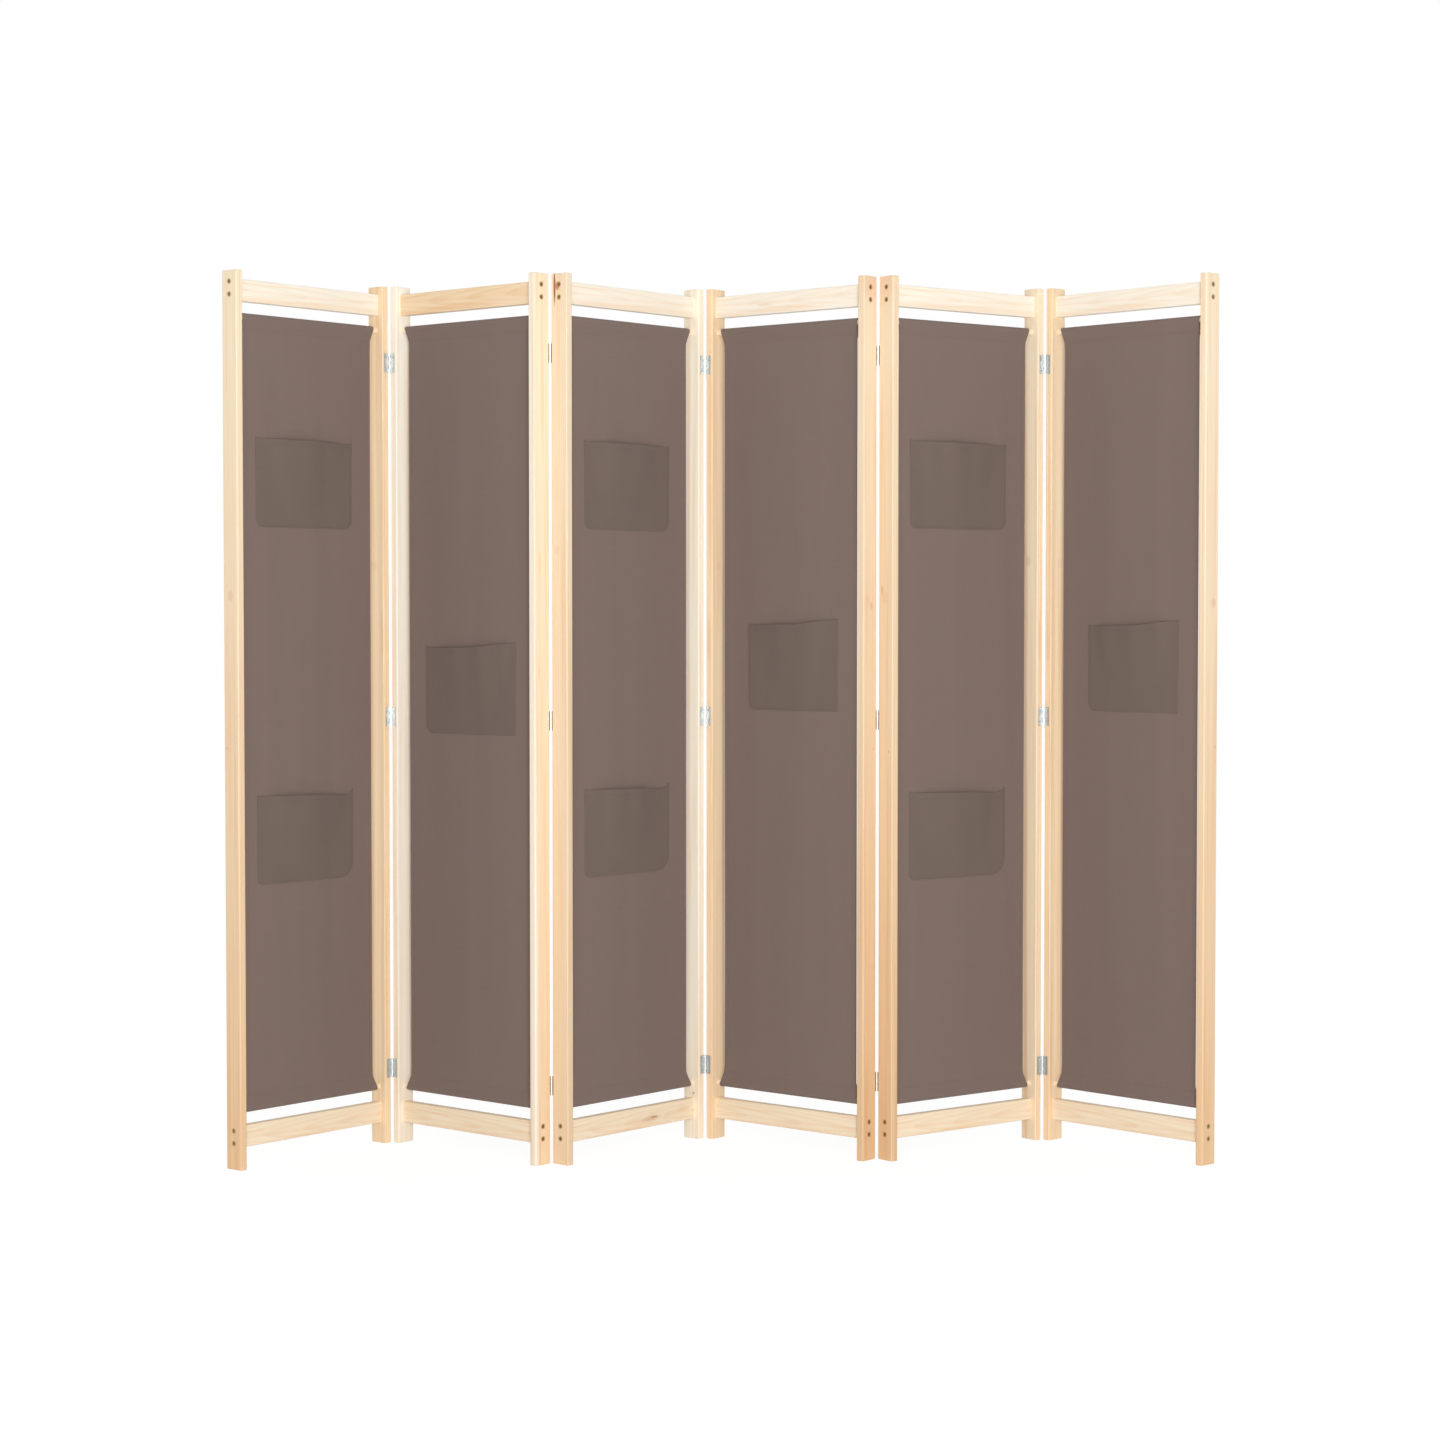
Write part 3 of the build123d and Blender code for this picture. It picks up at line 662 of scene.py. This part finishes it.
class PocketShape:
    """One pocket: where it sits on its cloth, its outline and how its wall stands off the cloth."""

    def __init__(self, place, cloths, pockets, seat, kind):
        self.place, self.cloths, self.sizes, self.seat = place, cloths, pockets, seat
        self.half = place.pocket_width / 2
        self.layer = cloths.thickness * LAYER_STEP
        self.knots, radii = POCKET_CUTS[kind]
        self.radii = {LEFT: radii[0] * MM, RIGHT: radii[1] * MM}

    def mouth(self, across):
        """Height of the mouth above the foot."""
        share = min(max(across / self.half, -1.0), 1.0)
        for (start, low), (end, high) in zip(self.knots, self.knots[1:]):
            if share <= end:
                return self.sizes.height + (low + (high - low) * smooth(share, start, end)) * MM
        raise ValueError("the mouth's outline ends before the pocket's edge")

    def edge(self, side, above):
        """Distance from the middle to one side at a height above the foot."""
        radius = self.radii[side]
        low = min(max(radius - above, 0.0), radius)
        return self.half - radius + (radius * radius - low * low) ** 0.5

    def lift(self, across, above):
        """How far the wall stands off: a leaning curved wall, eased into its flat seams."""
        reach = self.half - self.sizes.seam
        bend = (reach ** 2 + self.sizes.gape ** 2) / (2 * self.sizes.gape)
        rise = self.sizes.gape * (above - self.sizes.seam) / (self.sizes.height - self.sizes.seam)
        gap = rise - across ** 2 / (2 * bend)
        ease = 1.2 * MM
        lift = (gap + (gap * gap + ease * ease) ** 0.5) / 2 - 0.08 * MM
        tall = self.sizes.height
        ruffle = smooth(above, 0.2 * tall, tall) * smooth(self.half - abs(across), 0.01, 0.05)
        wave = sin(across * 2 * pi / 0.072 + self.place.number * 2.1 + self.seat * 9)
        return lift + 0.9 * MM * ruffle * wave

    def point(self, across, above, behind=0.0):
        """Point on the outer layer of the pocket, or behind it."""
        hem = self.sizes.hem
        tall = self.sizes.height
        full = smooth(above, tall - 3.5 * hem, tall - 1.2 * hem)
        base = self.cloths.thickness + self.layer * (1 + full)
        spot, up = self.place.pocket_middle + across, self.seat + above
        ahead = cloth_ripple(self.place, self.cloths, spot, up) + base + self.lift(across, above)
        return self.place.at(spot, ahead - behind, up)

    def seams(self, inset):
        """Lines of stitches: down one side, round the foot and up the other, and along the mouth's hem."""
        proud = -(self.cloths.thickness / 2 + 0.1 * MM)
        half, radii = self.half, self.radii
        outline = [(-half + inset, up) for up in spread(self.mouth(-half), radii[LEFT], 30)]
        for side, first, last in ((LEFT, pi, 1.5 * pi), (RIGHT, 1.5 * pi, 2 * pi)):
            radius = max(radii[side], inset)
            middle = side * (half - radius)
            turn = radius - inset
            outline += [(middle + turn * cos(a), radius + turn * sin(a)) for a in spread(first, last, 9)]
        outline += [(half - inset, up) for up in spread(radii[RIGHT], self.mouth(half), 30)]
        drop = self.sizes.hem - 1.5 * MM
        hem = [(across, self.mouth(across) - drop) for across in spread(-half + inset, half - inset, 60)]
        return [[self.point(across, up, proud) for across, up in line] for line in (outline, hem)]


def make_pocket(shape, name, material):
    """Patch pocket: outer wall, hemmed mouth and turned-under edges, from one cut."""
    pockets, layer, half = shape.sizes, shape.layer, shape.half
    turn = layer / 2
    fold = [(turn * (1 - sin(a)), turn * (1 - cos(a))) for a in spread(0.0, pi, 6)]
    hem_shares, turned_shares = (1, 0.75, 0.5, 0.25), (1.0, 0.66, 0.33)
    # Rows from the hem's inner edge over the mouth, down the wall and under the foot, each as what it is
    # measured from, its distance, its depth behind the outer layer and its place beyond the cut's fold
    down = [("mouth", pockets.hem * share, 2 * layer, pockets.hem * share) for share in hem_shares]
    down += [("mouth", 2 * inset, 2 * depth, 0.0) for inset, depth in reversed(fold)]
    down += [("wall", share, 0.0, None) for share in spread(0.0, 1.0, 46)[1:] if share < 0.88]
    down += [("foot", 16 * MM * share, 0.0, None)
             for share in (1.1, 0.9, 0.72, 0.56, 0.42, 0.3, 0.2, 0.12, 0.06)]
    down += [("foot", inset, depth, None) for inset, depth in fold]
    down += [("foot", pockets.turned * share, layer, None) for share in reversed(turned_shares)]
    columns = [(LEFT, pockets.turned * share, layer) for share in turned_shares]
    columns += [(LEFT, inset, depth) for inset, depth in reversed(fold)]
    columns += [(0, share, 0.0) for share in spread(-1.0, 1.0, 45)[1:-1]]
    columns += [(RIGHT, inset, depth) for inset, depth in fold]
    columns += [(RIGHT, pockets.turned * share, layer) for share in reversed(turned_shares)]
    rows, cut = [], []
    for kind, amount, depth, beyond in down:
        row, places = [], []
        for side, inset, under in columns:
            top = shape.mouth(side * (half - inset) if side else inset * (half - turn))
            above = {"mouth": top - amount, "wall": top * (1 - amount), "foot": amount}[kind]
            left, right = shape.edge(LEFT, above), shape.edge(RIGHT, above)
            if side:
                across = side * ((left if side == LEFT else right) - inset)
            else:
                across = turn - left + (inset + 1) / 2 * (left + right - 2 * turn)
            row.append(shape.point(across, above, depth + under))
            outside = 2 * side * inset if side and under > turn else 0.0
            places.append((across + outside, above if beyond is None else top + beyond))
        rows.append(row)
        cut.append(places)
    last = len(columns) - 1
    round_corner = 16

    def trimmed(i, j):
        """What a tailor cuts away: the crossings of two turned edges, and the turning at the corners."""
        from_side = min(j, last - 1 - j)
        foot = "foot" in (down[i][0], down[i + 1][0])
        crossing = from_side < len(turned_shares) and (i < len(hem_shares) or foot)
        under = down[i][0] == "foot" and down[i][2] > 0.99 * layer
        return crossing or (under and from_side < round_corner)

    pocket = grid_piece(name, rows, cut, trimmed)
    give_thickness(pocket, shape.cloths.thickness)
    pocket.data.materials.append(material)
    return pocket, (2 * (half + pockets.turned), pockets.height + pockets.hem + pockets.turned)


# --- stitches


def lockstitch_tree():
    """Geometry nodes that set a stitch at every pitch along the edges of a mesh."""
    tree = bpy.data.node_groups.new("lockstitches", "GeometryNodeTree")
    sockets = tree.interface
    sockets.new_socket("Seams", in_out="INPUT", socket_type="NodeSocketGeometry")
    for name, default in (("Pitch", 3.6 * MM), ("Length", 2.8 * MM), ("Width", 0.6 * MM)):
        made = sockets.new_socket(name, in_out="INPUT", socket_type="NodeSocketFloat")
        made.default_value = default
        made.subtype = "DISTANCE"
    sockets.new_socket("Facing", in_out="INPUT", socket_type="NodeSocketVector")
    sockets.new_socket("Thread", in_out="INPUT", socket_type="NodeSocketMaterial")
    sockets.new_socket("Stitches", in_out="OUTPUT", socket_type="NodeSocketGeometry")
    given = add_node(tree, "NodeGroupInput")
    seams = add_node(tree, "GeometryNodeMeshToCurve", {"Mesh": given.outputs["Seams"]})
    spots = add_node(tree, "GeometryNodeCurveToPoints", {
        "Curve": seams, "Length": given.outputs["Pitch"]}, mode="LENGTH")
    lengthwise = add_node(tree, "FunctionNodeAlignRotationToVector", {
        "Vector": spots.outputs["Tangent"]}, axis="X")
    turned = add_node(tree, "FunctionNodeAlignRotationToVector", {
        "Rotation": lengthwise, "Vector": given.outputs["Facing"]}, axis="Z", pivot_axis="X")
    ball = add_node(tree, "GeometryNodeMeshUVSphere", {"Segments": 6, "Rings": 4, "Radius": 0.5})
    size = add_node(tree, "ShaderNodeCombineXYZ", {
        "X": given.outputs["Length"], "Y": given.outputs["Width"], "Z": given.outputs["Width"]})
    stitches = add_node(tree, "GeometryNodeInstanceOnPoints", {
        "Points": spots.outputs["Points"], "Instance": ball.outputs["Mesh"],
        "Rotation": turned, "Scale": size})
    real = add_node(tree, "GeometryNodeRealizeInstances", {"Geometry": stitches})
    soft = add_node(tree, "GeometryNodeSetShadeSmooth", {0: real})
    sewn = add_node(tree, "GeometryNodeSetMaterial", {
        "Geometry": soft, "Material": given.outputs["Thread"]})
    add_node(tree, "NodeGroupOutput", {"Stitches": sewn})
    return tree


def sew(name, seams, facing, tree, sizes, material):
    """Plain mesh of the stitches along the seams, each a list of points."""
    points, edges = [], []
    for seam in seams:
        start = len(points)
        points += seam
        edges += [(start + i, start + i + 1) for i in range(len(seam) - 1)]
    lines = bpy.data.meshes.new(f"{name}_seams")
    lines.from_pydata(points, edges, [])
    guide = bpy.data.objects.new(f"{name}_seams", lines)
    bpy.context.scene.collection.objects.link(guide)
    modifier = guide.modifiers.new("stitches", "NODES")
    modifier.node_group = tree
    values = {"Pitch": sizes.pitch, "Length": sizes.length, "Width": sizes.width,
              "Facing": facing, "Thread": material}
    for item in tree.interface.items_tree:
        if item.in_out == "INPUT" and item.name in values:
            modifier[item.identifier] = values[item.name]
    graph = bpy.context.evaluated_depsgraph_get()
    mesh = bpy.data.meshes.new_from_object(guide.evaluated_get(graph), depsgraph=graph)
    mesh.name = name
    bpy.data.objects.remove(guide)
    bpy.data.meshes.remove(lines)
    if not mesh.polygons:
        raise RuntimeError(f"{name} has no stitches")
    piece = bpy.data.objects.new(name, mesh)
    bpy.context.scene.collection.objects.link(piece)
    return piece


# --- operators


def dress(node, material):
    """Gives a node of the frame a material in place of its own."""
    mesh = NODES[node].data
    mesh.materials.clear()
    mesh.materials.append(material)


# Looks of the boards, panel by panel: left stile, right stile, top rail, bottom rail
BOARD_LOOKS = [
    (CREAM, HONEY, PALE, CREAM),
    (WHITE, CREAM, HONEY, CREAM),
    (OAT, IVORY, PALE, CREAM),
    (HONEY, OAT, PALE, CREAM),
    (OAT, CREAM, PALE, CREAM),
    (HONEY, CREAM, PALE, CREAM),
]
WARM_FEET = {"stile_left_1": 1.0, "stile_left_2": 0.3, "stile_right_2": 0.6, "stile_left_3": 0.5,
             "stile_right_4": 1.0, "stile_left_5": 1.0, "stile_right_5": 0.2, "stile_right_6": 1.0}
# Knots, streaks of pitch, a pale band down one front face and long marks of painted shade on the inner
# faces
# behind the cloth: across and ahead of the board's middle, height, half width (all in millimetres), how
# many times longer they are along the grain, strength and colour
BOARD_MARKS = {
    # Marks 260 times longer than wide, 10 to 17 mm behind the middle of a stile's inner face, are painted
    # pink-brown shade where the cloth shades that face
    "stile_left_1": [(-8, 0, 1088, 8, 1.3, 0.30, "DBA380"), (-8, -12, 800, 2.2, 1.5, 0.4, "C08A62")],
    "stile_right_1": [(-8, -15, 850, 5, 260, 0.35, "D8A88A"), (-8, 15, 1010, 4, 12, 0.35, "E2B07E"),
                      (-8, -6, 1150, 7, 1.5, 0.25, "DBAE90")],
    "stile_left_2": [(8, -17, 850, 5, 260, 0.2, "DDB79F")],
    "stile_right_2": [(0, 20, 850, 9, 200, 0.7, "FCF4E6"), (8, 6, 1150, 4, 6, 0.25, "E8C27F"),
                      (8, 8, 945, 3, 5, 0.3, "E5B88C")],
    "stile_left_3": [(-8, -11, 1675, 2.4, 14, 0.95, "8C3F26"), (-8, -4, 1676, 5.5, 1.4, 0.8, "B4694A"),
                     (-8, -4, 1175, 6, 1.5, 0.2, "DBAE90")],
    "stile_right_3": [(-8, -10, 850, 5, 260, 0.15, "DDB79F"), (-8, 6, 92, 2.5, 1.2, 0.6, "8A5A3C")],
    "stile_left_4": [(8, -16, 850, 5, 260, 0.35, "D8A88A"), (0, 20, 1000, 3.5, 12, 0.35, "E2A873"),
                     (8, 0, 1150, 6, 1.5, 0.2, "DBAE90")],
    "stile_right_4": [(8, 0, 1690, 22, 1.6, 0.55, "ECC09A"), (8, -4, 1070, 4, 1.8, 0.40, "D08F70"),
                      (8, 8, 1080, 8, 1.4, 0.2, "DBA380"), (8, -12, 795, 2, 1.5, 0.4, "C08A62")],
    "stile_left_5": [(-8, 0, 1690, 22, 1.6, 0.5, "F0C8A4"), (-8, -10, 1100, 4, 2.2, 0.40, "D08F70"),
                     (-8, -2, 1085, 9, 1.3, 0.2, "DBA380"), (-8, 10, 790, 2, 1.5, 0.4, "C08A62")],
    "stile_right_5": [(-8, -13, 850, 5, 260, 0.4, "D3A082"), (0, 20, 1010, 3.5, 12, 0.3, "E2B07E"),
                      (-8, -6, 1160, 7, 1.5, 0.3, "D49E7E")],
    "stile_left_6": [(8, -17, 850, 5, 260, 0.35, "D8A88A"), (0, 20, 1000, 4, 14, 0.25, "E2A873"),
                     (8, -4, 1155, 6, 1.5, 0.2, "DBAE90")],
    "stile_right_6": [(8, -6, 1075, 7, 1.3, 0.35, "D99B7C"), (8, -13, 800, 2.2, 1.5, 0.4, "C08A62")],
    "rail_bottom_3": [(62, 8, 60, 1.6, 7, 0.8, "8E6A45"), (50, 8, 58, 5, 5, 0.4, "C79A6A"),
                      (150, 8, 66, 6, 3, 0.25, "E0AE90")],
    "rail_top_4": [(-60, 8, 1662, 3, 6, 0.25, "DDB487")],
}
# Heights of the screws that hold the rails, in millimetres. Round their heads the wood is painted dark,
# painted
# shade of their countersinks: half width, how many times longer it is along the grain, strength and
# colour.
SCREW_HEIGHTS = (50, 74, 1655, 1679)
SCREW_RECESS_SHADE = (5 * MM, 1.0, 0.9, "9A7B50")


def board_marks(node, place):
    """Knots, streaks of pitch and other marks of one board, its long marks of painted shade and the
    painted shade round its screws, with their places in the scene.
    """
    centre = middle_of(node)
    marks = []
    for across, ahead, up, size, stretch, strength, tint in BOARD_MARKS.get(node, []):
        spot = centre + place.along * across * MM + place.forward * ahead * MM
        spot.z = up * MM
        marks.append((spot, size * MM, stretch, strength, tint))
    # Painted shade round the head of each screw, where it sits in its countersink
    if node.startswith("stile_"):
        outward = place.along * (centre - place.middle).dot(place.along)
        for up in SCREW_HEIGHTS:
            spot = centre + outward.normalized() * STILE_WIDTH / 2
            spot.z = up * MM
            marks.append((spot, *SCREW_RECESS_SHADE))
    return marks


class SCREEN_OT_stiles(bpy.types.Operator):
    """Gives each stile its own piece of planed pine"""

    bl_idname = "screen.stiles"
    bl_label = "Stiles"

    def execute(self, context):
        for place, looks in zip(PLACES, BOARD_LOOKS):
            for side, word, look in ((LEFT, "left", looks[0]), (RIGHT, "right", looks[1])):
                node = f"stile_{word}_{place.number}"
                seed = place.number * 2 + side
                heart = middle_of(node) + place.forward * (0.055 + 0.006 * (seed % 4))
                heart += place.along * side * -(0.030 + 0.004 * (seed % 3))
                grain = Vector((0.006 * sin(seed), 0.006 * cos(seed * 2.3), 1)).normalized()
                rings_mm = 3.2 + 0.3 * (seed % 3)
                dress(node, pine_material(f"planed_pine_{node}", look, grain, heart, rings_mm,
                                          board_marks(node, place), WARM_FEET.get(node, 0.0)))
        return {"FINISHED"}


class SCREEN_OT_rails(bpy.types.Operator):
    """Gives each rail its own piece of planed pine, sawn so that its face shows arches"""

    bl_idname = "screen.rails"
    bl_label = "Rails"

    def execute(self, context):
        for place, looks in zip(PLACES, BOARD_LOOKS):
            for word, look, lift in (("top", looks[2], 4 * MM), ("bottom", looks[3], -3 * MM)):
                node = f"rail_{word}_{place.number}"
                seed = place.number * 3 + (word == "top")
                centre = middle_of(node)
                heart = centre - place.forward * 0.034 + Vector((0, 0, lift + 2 * MM * sin(seed)))
                lean = 0.022 * (1 if seed % 2 else -1)
                grain = (place.along + place.forward * lean).normalized()
                rings_mm = 2.6 + 0.3 * (seed % 3)
                dress(node, pine_material(f"planed_pine_{node}", look, grain, heart, rings_mm,
                                          board_marks(node, place)))
        return {"FINISHED"}


class SCREEN_OT_dowels(bpy.types.Operator):
    """Gives the dowels their turned wood"""

    bl_idname = "screen.dowels"
    bl_label = "Dowels"

    def execute(self, context):
        for place in PLACES:
            node = f"dowels_{place.number}"
            dress(node, turned_dowel_material(f"turned_{node}", place.along))
        return {"FINISHED"}


class SCREEN_OT_hardware(bpy.types.Operator):
    """Plates the hinges, their pins and every screw"""

    bl_idname = "screen.hardware"
    bl_label = "Hinges and screws"

    def execute(self, context):
        axes = {number: middle_of(f"hinge_pins_{number}_{number + 1}")
                for number in range(1, PANELS)}
        screws = screw_material()
        for place in PLACES:
            beside = [axes[number] for number in (place.number - 1, place.number) if number in axes]
            leaves = f"hinge_leaves_{place.number}"
            dress(leaves, bright_zinc_material(f"bright_zinc_plate_{leaves}", beside))
            dress(f"screws_{place.number}", screws)
        for number, axis in axes.items():
            pins = f"hinge_pins_{number}_{number + 1}"
            dress(pins, bright_zinc_material(f"bright_zinc_plate_{pins}", [axis]))
        return {"FINISHED"}


class SCREEN_OT_cloths(bpy.types.Operator):
    """Stretches a hemmed cloth with two sleeves in each panel and sews its hems"""

    bl_idname = "screen.cloths"
    bl_label = "Cloths"

    def execute(self, context):
        sizes, stitch = context.scene.screen_cloth, context.scene.screen_stitch
        weave = plain_weave_material("plain_weave_polyester", sizes.colour)
        thread = thread_material(stitch.colour)
        tree = lockstitch_tree()
        for place in PLACES:
            cloth, flat, area = make_cloth(place, sizes, weave)
            sewn = sew(f"cloth_stitches_{place.number}", cloth_seams(place, sizes), place.forward, tree,
                       stitch, thread)
            for piece in (cloth, sewn):
                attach(piece, f"panel_{place.number}")
            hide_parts(f"fabric_{place.number}")
        return {"FINISHED"}


class SCREEN_OT_pockets(bpy.types.Operator):
    """Sews the pockets on the fronts of the cloths"""

    bl_idname = "screen.pockets"
    bl_label = "Pockets"

    def execute(self, context):
        scene = context.scene
        cloths, sizes, stitch = scene.screen_cloth, scene.screen_pocket, scene.screen_stitch
        weave = plain_weave_material("plain_weave_polyester_double", sizes.colour)
        thread = bpy.data.materials["polyester_thread"]
        tree = bpy.data.node_groups["lockstitches"]
        for place in PLACES:
            seats = place.pocket_seats(sizes.height)
            for seat, kind in zip(seats, ("upper", "lower") if len(seats) == 2 else ("only",)):
                name = f"pocket_{place.number}" + ("" if kind == "only" else f"_{kind}")
                shape = PocketShape(place, cloths, sizes, seat, kind)
                pocket, flat = make_pocket(shape, name, weave)
                sewn = sew(name.replace("pocket", "pocket_stitches"), shape.seams(stitch.inset),
                           place.forward, tree, stitch, thread)
                for piece in (pocket, sewn):
                    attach(piece, f"panel_{place.number}")
                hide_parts(f"pockets_{place.number}")
        return {"FINISHED"}


def background_rays(tree):
    """Node that is 1 for a ray of the camera, or one that metal reflects or glass lets through."""
    path = add_node(tree, "ShaderNodeLightPath")
    seen = path.outputs["Is Camera Ray"]
    for kind in ("Is Glossy Ray", "Is Transmission Ray"):
        seen = add_node(tree, "ShaderNodeMath", {0: seen, 1: path.outputs[kind]}, operation="MAXIMUM")
    return seen


# The large soft lamp stands just beside the camera and shines on the middle of the screen
LAMP_PLACE, LAMP_AIM, LAMP_WIDTH = Vector((0.5, -5.9, 1.15)), Vector((0, 0, 0.8)), 2.4
FLOOR_REACH = 30.0
# Strength at which the glow and the lit floor under it add up to white
FLOOR_WHITE = 1.125


class SCREEN_OT_stage(bpy.types.Operator):
    """Sets the floor, the soft light and the camera"""

    bl_idname = "screen.stage"
    bl_label = "Stage"

    def execute(self, context):
        scene = context.scene
        settings = scene.screen_stage
        scene.view_settings.view_transform = "Standard"
        world = bpy.data.worlds.new("soft_studio")
        world.use_nodes = True
        tree = world.node_tree
        tree.nodes.clear()
        even = add_node(tree, "ShaderNodeBackground", {
            "Color": (1, 1, 1, 1), "Strength": settings.ambient})
        white = add_node(tree, "ShaderNodeBackground", {"Color": (1, 1, 1, 1), "Strength": 1.0})
        both = add_node(tree, "ShaderNodeMixShader", {0: background_rays(tree), 1: even, 2: white})
        add_node(tree, "ShaderNodeOutputWorld", {"Surface": both})
        scene.world = world
        self.make_floor(scene, settings)
        lamp = bpy.data.lights.new("key_lamp", "AREA")
        lamp.shape = "DISK"
        lamp.size = LAMP_WIDTH
        lamp.energy = settings.key
        holder = bpy.data.objects.new("key_lamp", lamp)
        holder.location = LAMP_PLACE
        holder.rotation_euler = (LAMP_AIM - LAMP_PLACE).to_track_quat("-Z", "Y").to_euler()
        scene.collection.objects.link(holder)
        view = bpy.data.cameras.new("camera")
        view.lens = settings.lens
        view.sensor_width = 36.0
        view.clip_end = 200.0
        camera = bpy.data.objects.new("camera", view)
        camera.location = settings.camera
        camera.rotation_euler = (pi / 2 - settings.pitch, 0, 0)
        scene.collection.objects.link(camera)
        scene.camera = camera
        return {"FINISHED"}

    def make_floor(self, scene, settings):
        """Pale floor that looks nearly white to the camera and still takes the screen's shadow."""
        turns = ((-1, -1), (1, -1), (1, 1), (-1, 1))
        mesh = bpy.data.meshes.new("floor")
        mesh.from_pydata([(FLOOR_REACH * x, FLOOR_REACH * y, 0) for x, y in turns], [], [(0, 1, 2, 3)])
        material, tree = new_material("matt_white_floor")
        share = add_node(tree, "ShaderNodeMath", {0: background_rays(tree), 1: settings.floor_glow},
                         operation="MULTIPLY")
        matt = add_node(tree, "ShaderNodeBsdfDiffuse", {"Color": tuple(settings.floor)})
        glow = add_node(tree, "ShaderNodeEmission", {"Color": (1, 1, 1, 1), "Strength": FLOOR_WHITE})
        finish_material(tree, add_node(tree, "ShaderNodeMixShader", {0: share, 1: matt, 2: glow}))
        mesh.materials.append(material)
        floor = bpy.data.objects.new("floor", mesh)
        scene.collection.objects.link(floor)


class SCREEN_PT_build(bpy.types.Panel):
    """Lists the steps that dress the screen, and the sizes that they use"""

    bl_label = "Folding screen"
    bl_idname = "SCREEN_PT_build"
    bl_space_type = "VIEW_3D"
    bl_region_type = "UI"
    bl_category = "Screen"

    def draw(self, context):
        for step in STEPS:
            self.layout.operator(step.bl_idname)
        for group in SETTINGS:
            settings = getattr(context.scene, group)
            box = self.layout.box()
            for key in settings.bl_rna.properties.keys():
                if key not in ("rna_type", "name"):
                    box.prop(settings, key)


STEPS = (SCREEN_OT_stiles, SCREEN_OT_rails, SCREEN_OT_dowels, SCREEN_OT_hardware, SCREEN_OT_cloths,
         SCREEN_OT_pockets, SCREEN_OT_stage)
SETTINGS = {"screen_cloth": ClothSizes, "screen_pocket": PocketSizes, "screen_stitch": StitchSizes,
            "screen_stage": StageSettings}


def register():
    for group in SETTINGS.values():
        bpy.utils.register_class(group)
    for name, group in SETTINGS.items():
        setattr(bpy.types.Scene, name, bpy.props.PointerProperty(type=group))
    for step in (*STEPS, SCREEN_PT_build):
        bpy.utils.register_class(step)


def unregister():
    for step in (SCREEN_PT_build, *reversed(STEPS)):
        bpy.utils.unregister_class(step)
    for name, group in SETTINGS.items():
        delattr(bpy.types.Scene, name)
        bpy.utils.unregister_class(group)


def main():
    register()
    for step in STEPS:
        family, action = step.bl_idname.split(".")
        getattr(getattr(bpy.ops, family), action)()


if __name__ == "__main__":
    main()
